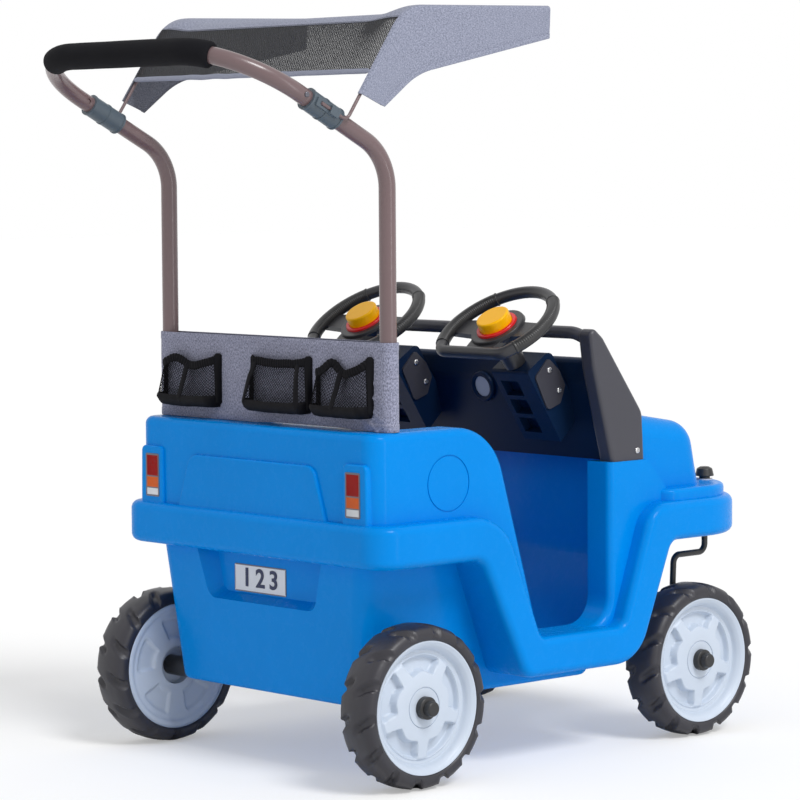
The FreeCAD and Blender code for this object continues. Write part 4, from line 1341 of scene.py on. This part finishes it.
    def rim_z(self, bag: Bag, u: float) -> float:
        """Height of a pocket's elastic edge.

        Args:
            bag: The pocket.
            u: Share of the way round, from 0 to 1.

        Returns:
            The height in millimetres.
        """
        ear = max(2 * u - 1, 0.0)
        place, wide, tall = bag.hump
        hump = tall * math.exp(-((u - place) / wide) ** 2)
        ruffle = 1.2 * noise.noise(Vector((u * 7, bag.y, 1)))
        return bag.rim - bag.sag * (1 - ear ** 1.6) + 3.0 * ear ** 6 + hump + ruffle

    def bag(self, bag: Bag) -> bpy.types.Object:
        """Model one net pocket with its tapes, elastic and bottom.

        Args:
            bag: The pocket.

        Returns:
            The pocket.
        """
        columns, rows, low = round((bag.width + 44) / self.cell), 13, self.bag_low + 9
        cells = {(i, k): self.spot(bag, i / columns, low + (self.rim_z(bag, i / columns) - low) * k / rows)
                 for i in range(columns + 1) for k in range(rows + 1)}
        net = grid("net", columns, rows, lambda i, k: row(*cells[i, k]))
        knot_net(net, self.strand)
        paint(net, Finish.NET)
        parts = [net, self.bottom(bag)]
        shares = [i / 120 for i in range(121)]
        edge = [self.spot(bag, u, self.rim_z(bag, u), 0.8) for u in shares]
        out = [self.outward(bag, u, bag.rim) for u in shares]
        parts.append(tape("elastic", edge, out, (6.4, 2.0), gathers=26))
        ends = {0.02: (4.5, 1.8), 0.98: (6.5, 2.8)}
        foot = self.bag_low + 4
        for u, half in {**ends, **{u: (4.6, 1.5) for u in bag.tapes}}.items():
            top = self.rim_z(bag, u) + (8 if u in ends else 4)
            heights = [foot + (top - foot) * k / 24 for k in range(25)]
            line = [self.spot(bag, u, z, 0.9) for z in heights]
            parts.append(tape("seam", line, [self.outward(bag, u, z) for z in heights], half))
        for part in parts[1:]:
            paint(part, Finish.TAPE)
        return join(parts, f"pocket_{bag.side}_bag")

    def bottom(self, bag: Bag) -> bpy.types.Object:
        """Model a pocket's cloth bottom.

        Args:
            bag: The pocket.

        Returns:
            The bottom.
        """
        columns = 60
        levels = [(564.0, 0.0, 1.0), (562.5, 0.0, 1.6), (559.0, 0.0, 1.5), (554.0, 0.0, 1.4),
                  (550.0, 0.02, 1.0), (547.4, 0.07, 0.6), (545.8, 0.16, 0.0)]
        levels += [(self.bag_low, inward, 0.0) for inward in (0.34, 0.66, 1.0)]

        def place(i: int, k: int) -> Vector:
            """Point on the bottom.

            Args:
                i: Step round the pocket.
                k: Level, from the pocket's wall to its seam.

            Returns:
                The point in metres.
            """
            u = i / columns
            z, inward, out = levels[k]
            spot = self.spot(bag, u, z, out)
            crumple = noise.noise(Vector((spot.y / 14, z / 9, bag.y)))
            spot += self.outward(bag, u, z) * max(crumple, 0.0) * 1.1 * (1 - inward)
            spot.x += (self.back_x - spot.x) * inward
            spot.z -= 2.2 * math.sin(math.pi * u) * (1 - inward) + 0.8 * crumple
            return row(*spot)

        piece = grid("bottom", columns, len(levels) - 1, place)
        close(piece)
        face_towards(piece, -AHEAD)
        apply(piece, "SOLIDIFY", thickness=self.bag_cloth * MM, offset=-1.0)
        return piece

    def build(self) -> None:
        """Model the sleeve and hang the pockets on it."""
        panel = self.panel()
        finish(panel, Finish.CADDY, "chassis", "cloth_dark", "caddy_panel", angle=60)
        for bag in self.bags:
            pocket = self.bag(bag)
            finish(pocket, Finish.NET, "chassis", "net_black", f"pocket_{bag.side}", angle=50)


@dataclass
class HandleFoam:
    """Foam grip over the handle's bar and the start of its bends, in millimetres."""

    joint: Point = (-139.0, 0.0, 999.5)
    rise: float = 28.0
    reach: float = 177.0
    bend: float = 130.0
    pole_y: float = 257.0
    turn: float = 27.0
    radius: float = 20.0
    bore: float = 12.95

    def path(self, count: int) -> list[Vector]:
        """Middle line of the foam.

        Args:
            count: Number of points.

        Returns:
            Even points (along the handle, across it) from the left end to the right end.
        """
        centre = Vector((self.reach - self.bend, self.pole_y - self.bend))
        line = []
        for k in range(21):
            angle = math.radians(self.turn * (1 - k / 20))
            line.append(centre + swing(Vector((1, 0)), Vector((0, 1)), angle) * self.bend)
        return even(line + [Vector((p.x, -p.y)) for p in reversed(line)], count)

    def build(self) -> None:
        """Model the foam."""
        count = 160
        line = self.path(count)
        lengths = reach(line)
        total = lengths[-1]
        back = swing(-AHEAD, UP, math.radians(self.rise))
        above = LEFT.cross(back)
        rounding = ((13.4, 0.0), (16.0, 0.0), (18.0, 0.7), (19.2, 2.2), (19.8, 4.5))
        stations = [(0.0, self.bore)] + [(at, radius) for radius, at in rounding]
        stations += [(length, self.radius) for length in lengths if 7 < length < total - 7]
        stations += [(total - at, radius) for radius, at in reversed(rounding)]
        stations += [(length, self.bore) for length in reversed(lengths)]
        around = 40

        def place(i: int, k: int) -> Vector:
            """Point on the foam.

            Args:
                i: Station along it.
                k: Step round it.

            Returns:
                The point in metres.
            """
            at, radius = stations[i]
            share = at / total * (count - 1)
            j = min(int(share), count - 2)
            spot = line[j].lerp(line[j + 1], share - j)
            way = (line[j + 1] - line[j]).normalized()
            side = back * way.y - LEFT * way.x
            angle = math.tau * k / around
            if radius > self.bore + 5:
                radius += 0.3 * noise.noise(Vector((at / 40, math.cos(angle), math.sin(angle))))
            centre = Vector(self.joint) + back * spot.x + LEFT * spot.y
            return row(*(centre + swing(side, above, angle) * radius))

        piece = grid("foam_sleeve", len(stations) - 1, around, place)
        close(piece)
        finish(piece, Finish.FOAM, "chassis", "foam_black", "foam_grip", angle=50)


@dataclass
class SteeringGrips:
    """Ribbed grips on both sides of each steering wheel, in millimetres."""

    ring: float = 95.0
    radius: float = 10.2
    bore: float = 9.0
    start: float = 40.0
    end: float = 122.0
    rib: float = 3.6

    def grip(self, s: float, hand: float) -> bpy.types.Object:
        """Model one grip.

        Args:
            s: 1 on the car's left wheel, -1 on its right.
            hand: 1 for the left hand's grip, -1 for the right hand's.

        Returns:
            The grip.
        """
        steps, around = 260, 24
        ahead, up = tilted()
        length = math.radians(self.end - self.start) * self.ring
        cuff = [(0.0, 9.45), (0.0, 10.4), (0.5, 10.9), (2.5, 10.9), (3.2, 10.3)]
        stations = cuff + [(4 + (length - 8) * k / steps, self.radius) for k in range(steps + 1)]
        stations += [(length - at, radius) for at, radius in reversed(cuff)]
        ribbed = range(len(cuff), len(stations) - len(cuff))
        stations += [(length * (1 - k / 40), self.bore) for k in range(41)] + cuff[:1]

        def place(i: int, k: int) -> Vector:
            """Point on the grip.

            Args:
                i: Station along it.
                k: Step round it.

            Returns:
                The point in metres.
            """
            at, radius = stations[i]
            out = swing(ahead, LEFT * hand, math.radians(self.start) + at / self.ring)
            turn = math.tau * k / around
            if i in ribbed:
                side = abs(math.cos(turn))
                band = smooth(0.5, 0.62, side) * (1 - smooth(0.9, 0.97, side))
                band *= smooth(-0.1, 0.1, math.sin(turn))
                radius += 0.75 * band * max(0.0, math.sin(math.tau * at / self.rib)) ** 0.7
            middle = Vector((COLUMN[0], s * COLUMN[1], COLUMN[2])) + out * self.ring
            return row(*(middle + swing(out, up, turn) * radius))

        piece = grid("grip", len(stations) - 1, around, place)
        close(piece)
        return piece

    def build(self) -> None:
        """Model the grips and set them on their wheels."""
        for side, s in SIDES:
            for hand_name, hand in SIDES:
                piece = self.grip(s, hand)
                piece.name = piece.data.name = f"grip_{hand_name}_of_{side}_wheel"
                finish(piece, Finish.BLACK, f"steering_{side}", "part_black", angle=50)


@dataclass
class DashScrews:
    """Pan head screws with cross recesses in the dash plates and the windshield posts, in millimetres."""

    plate_out: float = 44.0
    plate_spots: tuple[Pair, ...] = ((21.0, -96.0), (21.0, -135.0))
    post: Point = (498.0, 276.0, 467.0)
    radius: float = 4.6
    height: float = 2.2

    def head(self, centre: Vector, across: Vector, up: Vector, out: Vector) -> bpy.types.Object:
        """Model one screw head.

        Args:
            centre: Middle of its seat.
            across: One arm of its recess.
            up: The other arm.
            out: The way it looks.

        Returns:
            The head.
        """
        rings = [0.0, 0.5, 0.8, 1.1, 1.5, 1.9, 2.3, 2.6, 2.9, 3.3, 3.8, 4.3, self.radius, self.radius]
        steps = 48

        def place(i: int, k: int) -> Vector:
            """Point on the head.

            Args:
                i: Ring, counted from the middle.
                k: Step round it.

            Returns:
                The point in metres.
            """
            turn = math.tau * k / steps
            a, b = rings[i] * math.cos(turn), rings[i] * math.sin(turn)
            arm = (1 - smooth(0.5, 0.95, min(abs(a), abs(b)))) * (1 - smooth(2.4, 2.9, rings[i]))
            dome = self.height * (1 - 0.45 * (rings[i] / self.radius) ** 4) - 1.2 * arm
            return row(*(centre + across * a + up * b + out * (0.0 if i == len(rings) - 1 else dome)))

        piece = grid("screw", len(rings) - 1, steps, place)
        close(piece)
        return piece

    def build(self) -> None:
        """Model the six screws."""
        ahead, up = tilted()
        heads = []
        for _, s in SIDES:
            middle = Vector((COLUMN[0], s * COLUMN[1] - self.plate_out, COLUMN[2]))
            for a, b in self.plate_spots:
                heads.append(self.head(middle + ahead * a + up * b, ahead, up, -LEFT))
            x, y, z = self.post
            heads.append(self.head(Vector((x, s * y, z)), AHEAD, UP, LEFT * s))
        screws = join(heads, "dash_screw_heads")
        finish(screws, Finish.STEEL, "chassis", "screw_steel", "dash_screws", angle=35)


@dataclass
class RearTrims:
    """Number plate and tail lights, in millimetres."""

    plate_y: Pair = (-37.0, 86.0)
    plate_z: Pair = (261.0, 304.0)
    plate_x: float = -26.0
    light_y: Pair = (221.0, 254.0)
    light_z: Pair = (400.0, 468.0)
    light_x: float = -67.0
    light_edge: float = 0.9
    digits: str = "1 2 3"
    digit_size: float = 42.0
    digit_depth: float = 0.25
    digit_weight: float = 0.9
    digit_stretch: Pair = (1.05, 0.95)
    digit_out: float = 0.95

    def slab(self, name: str, ys: Pair, zs: Pair, x: float,
             height: Callable[[float, float], float], look: Callable[[float, float], int],
             finishes: Sequence[Finish]) -> bpy.types.Object:
        """Model a thin moulded face that looks to the rear.

        Args:
            name: Name of the piece.
            ys: Its sides.
            zs: Its lower and upper edge.
            x: The face that it is stuck to.
            height: How far it stands out, from the place in from its lower right corner.
            look: Number of the finish at a place.
            finishes: Its finishes.

        Returns:
            The piece.
        """
        wide, tall = ys[1] - ys[0], zs[1] - zs[0]
        steps = [[0.0, 0.2, *map(float, range(1, round(size))), size - 0.2, size] for size in (wide, tall)]
        last = [len(line) - 1 for line in steps]
        corner = 3.0

        def place(i: int, k: int) -> Vector:
            """Point on the face, with its corners rounded off.

            Args:
                i: Step across it.
                k: Step up it.

            Returns:
                The point in metres.
            """
            a, b = steps[0][i], steps[1][k]
            out = 0.0 if i in (0, last[0]) or k in (0, last[1]) else height(a, b)
            for end_a, end_b in ((0, 0), (wide, 0), (0, tall), (wide, tall)):
                off = Vector((corner - abs(a - end_a), corner - abs(b - end_b)))
                if min(off) > 0:
                    off *= max(off) / off.length
                    a = end_a + (corner - off.x) * (1 if end_a == 0 else -1)
                    b = end_b + (corner - off.y) * (1 if end_b == 0 else -1)
            return row(x - out, ys[0] + a, zs[0] + b)

        piece = grid(name, last[0], last[1], place)
        paint(piece, *finishes)
        low = row(x, ys[0], zs[0])
        for face in piece.data.polygons:
            face.material_index = look((face.center.y - low.y) / MM, (face.center.z - low.z) / MM)
        seal(piece, bpy.ops.mesh.edge_face_add)
        return piece

    def light(self, side: str, s: float) -> bpy.types.Object:
        """Model one tail light with a red, an amber and a white field.

        Args:
            side: left or right.
            s: 1 on the car's left, -1 on its right.

        Returns:
            The light.
        """
        ys = tuple(sorted(s * y for y in self.light_y))
        wide, tall = ys[1] - ys[0], self.light_z[1] - self.light_z[0]
        edge = 3
        fields = ((edge, 13, 3), (15, 31, 2), (33, tall - edge, 1))

        def field(a: float, b: float) -> int:
            """Give the number of the finish at a place, 0 for the edge."""
            across = edge <= a <= wide - edge
            return next((look for low, high, look in fields if across and low <= b <= high), 0)

        def height(a: float, b: float) -> float:
            """Give how far the light stands out at a place."""
            dome = 0.5 * math.sin(math.pi * (a - edge) / (wide - 2 * edge))
            return 0.55 + dome + 0.16 * math.cos(math.pi * a) if field(a, b) else self.light_edge

        return self.slab(f"tail_light_{side}_lens", ys, self.light_z, self.light_x, height, field,
                         (Finish.CHROME, Finish.LENS, Finish.AMBER, Finish.CLEAR))

    def plate(self) -> bpy.types.Object:
        """Model the number plate with its border and plain digits.

        Returns:
            The plate.
        """
        wide, tall = self.plate_y[1] - self.plate_y[0], self.plate_z[1] - self.plate_z[0]

        def inside(a: float, b: float) -> float:
            """Give the distance in from the plate's edge."""
            return min(a, wide - a, b, tall - b)

        def border(a: float, b: float) -> int:
            """Give the number of the finish at a place, 1 for the border."""
            return 1 if inside(a, b) < 1.6 else 0

        def height(a: float, b: float) -> float:
            """Give how far the plate stands out at a place."""
            return 0.8 - 0.35 * smooth(3.2, 4.6, inside(a, b))

        base = self.slab("plate", self.plate_y, self.plate_z, self.plate_x, height, border,
                         (Finish.FOIL, Finish.CHROME))
        bpy.ops.object.select_all(action="DESELECT")
        bpy.ops.object.text_add()
        text = bpy.context.object
        text.data.body = self.digits
        text.data.align_x, text.data.align_y = "CENTER", "CENTER"
        text.data.size = self.digit_size * MM
        text.data.extrude = self.digit_depth * MM
        text.data.offset = self.digit_weight * MM
        text.data.space_word = 0.8
        only(text)
        bpy.ops.object.convert(target="MESH")
        middle = row(self.plate_x - self.digit_out, sum(self.plate_y) / 2, sum(self.plate_z) / 2)
        wider, taller = self.digit_stretch
        turn = Matrix(((0, 0, -1), (-wider, 0, 0), (0, taller, 0))).to_4x4()
        text.data.transform(Matrix.Translation(middle) @ turn)
        close(text)
        paint(text, Finish.INK)
        return join([base, text], "number_plate_face")

    def build(self) -> None:
        """Model the trims of the rear face."""
        finish(self.plate(), Finish.FOIL, "chassis", "plate_silver", "number_plate", angle=30)
        for side, s in SIDES:
            finish(self.light(side, s), Finish.LENS, "chassis", "lens_red", f"tail_light_{side}", angle=30)


@dataclass
class Studio:
    """Pale floor, soft light and the camera."""

    eye: Point = (-3262.04, -3848.52, 921.75)
    heading: float = 47.66
    pitch: float = -4.12
    roll: float = -0.40
    focal_px: float = 3296.37
    picture_px: float = 800.0
    sensor_mm: float = 36.0
    floor_size: float = 60.0
    sky: float = 0.6
    sun: float = 1.85
    sun_angle: float = 0.35
    sun_from: Point = (-0.05, -0.68, 0.8)
    strip: float = 12.0
    strip_size: Pair = (0.25, 2.4)
    strip_place: Point = (600.0, -3200.0, 900.0)
    strip_aim: Point = (200.0, 0.0, 700.0)
    paper: float = 0.97
    paper_glow: float = 0.34

    def build(self) -> None:
        """Make the camera, the lights and the floor."""
        self.camera()
        self.lights()
        self.floor()
        bpy.context.scene.view_settings.view_transform = "Standard"

    def camera(self) -> None:
        """Place the camera at the photograph's angle."""
        turn, tilt, roll = (math.radians(a) for a in (self.heading, self.pitch, self.roll))
        ahead = Vector((math.cos(turn) * math.cos(tilt), math.sin(turn) * math.cos(tilt), math.sin(tilt)))
        right = ahead.cross(UP).normalized()
        up = right.cross(ahead)
        right, up = swing(right, up, roll), swing(up, -right, roll)
        data = bpy.data.cameras.new("photo_camera")
        data.sensor_width = self.sensor_mm
        data.lens = self.focal_px * self.sensor_mm / self.picture_px
        data.clip_end = 200
        lens = link("photo_camera", data)
        frame_axes = Matrix((right, up, -ahead)).transposed().to_4x4()
        lens.matrix_world = Matrix.Translation(row(*self.eye)) @ frame_axes
        bpy.context.scene.camera = lens

    def lights(self) -> None:
        """Set a soft key light, a strip box for streaks on the tubes, and an even white sky."""
        key = bpy.data.lights.new("key", "SUN")
        key.energy = self.sun
        key.angle = self.sun_angle
        lamp = link("key", key)
        lamp.rotation_euler = Vector(self.sun_from).to_track_quat("Z", "Y").to_euler()
        box = bpy.data.lights.new("strip_box", "AREA")
        box.shape = "RECTANGLE"
        box.size, box.size_y = self.strip_size
        box.energy = self.strip
        panel = link("strip_box", box)
        panel.location = row(*self.strip_place)
        aim = panel.location - row(*self.strip_aim)
        panel.rotation_euler = aim.to_track_quat("Z", "Y").to_euler()
        panel.visible_camera = False
        world = bpy.data.worlds.new("white_studio")
        bpy.context.scene.world = world
        world.use_nodes = True
        graph = Graph(world.node_tree)
        path = graph.node("ShaderNodeLightPath")
        bounced = graph.maths("MAXIMUM", path.outputs["Is Glossy Ray"], path.outputs["Is Transmission Ray"])
        seen = graph.maths("MAXIMUM", path.outputs["Is Camera Ray"], bounced)
        strength = graph.maths("MULTIPLY_ADD", seen, 1.0 - self.sky, self.sky)
        light = graph.node("ShaderNodeBackground", {"Color": (1, 1, 1, 1), "Strength": strength})
        graph.node("ShaderNodeOutputWorld", {"Surface": light.outputs[0]})

    def floor(self) -> None:
        """Lay the floor."""
        bpy.ops.object.select_all(action="DESELECT")
        bpy.ops.mesh.primitive_plane_add(size=self.floor_size)
        plane = bpy.context.object
        plane.name = "studio_floor"
        graph, made = Graph.material("floor_paper")
        matt = graph.node("ShaderNodeBsdfDiffuse", {"Color": (*[self.paper] * 3, 1)})
        white = graph.node("ShaderNodeEmission", {"Color": (1, 1, 1, 1), "Strength": 1.0})
        path = graph.node("ShaderNodeLightPath")
        share = graph.maths("MULTIPLY", path.outputs["Is Camera Ray"], self.paper_glow)
        paper = graph.node("ShaderNodeMixShader", {0: share, 1: matt.outputs[0], 2: white.outputs[0]})
        graph.node("ShaderNodeOutputMaterial", {"Surface": paper.outputs[0]})
        plane.data.materials.append(made)


def main() -> None:
    """Build and dress the car, then the studio."""
    logging.basicConfig(level=logging.INFO, format="%(message)s")
    dress_solids()
    for assembly in (Wheels, Canopy, Caddy, HandleFoam, SteeringGrips, DashScrews, RearTrims, Studio):
        assembly().build()


if __name__ == "__main__":
    main()
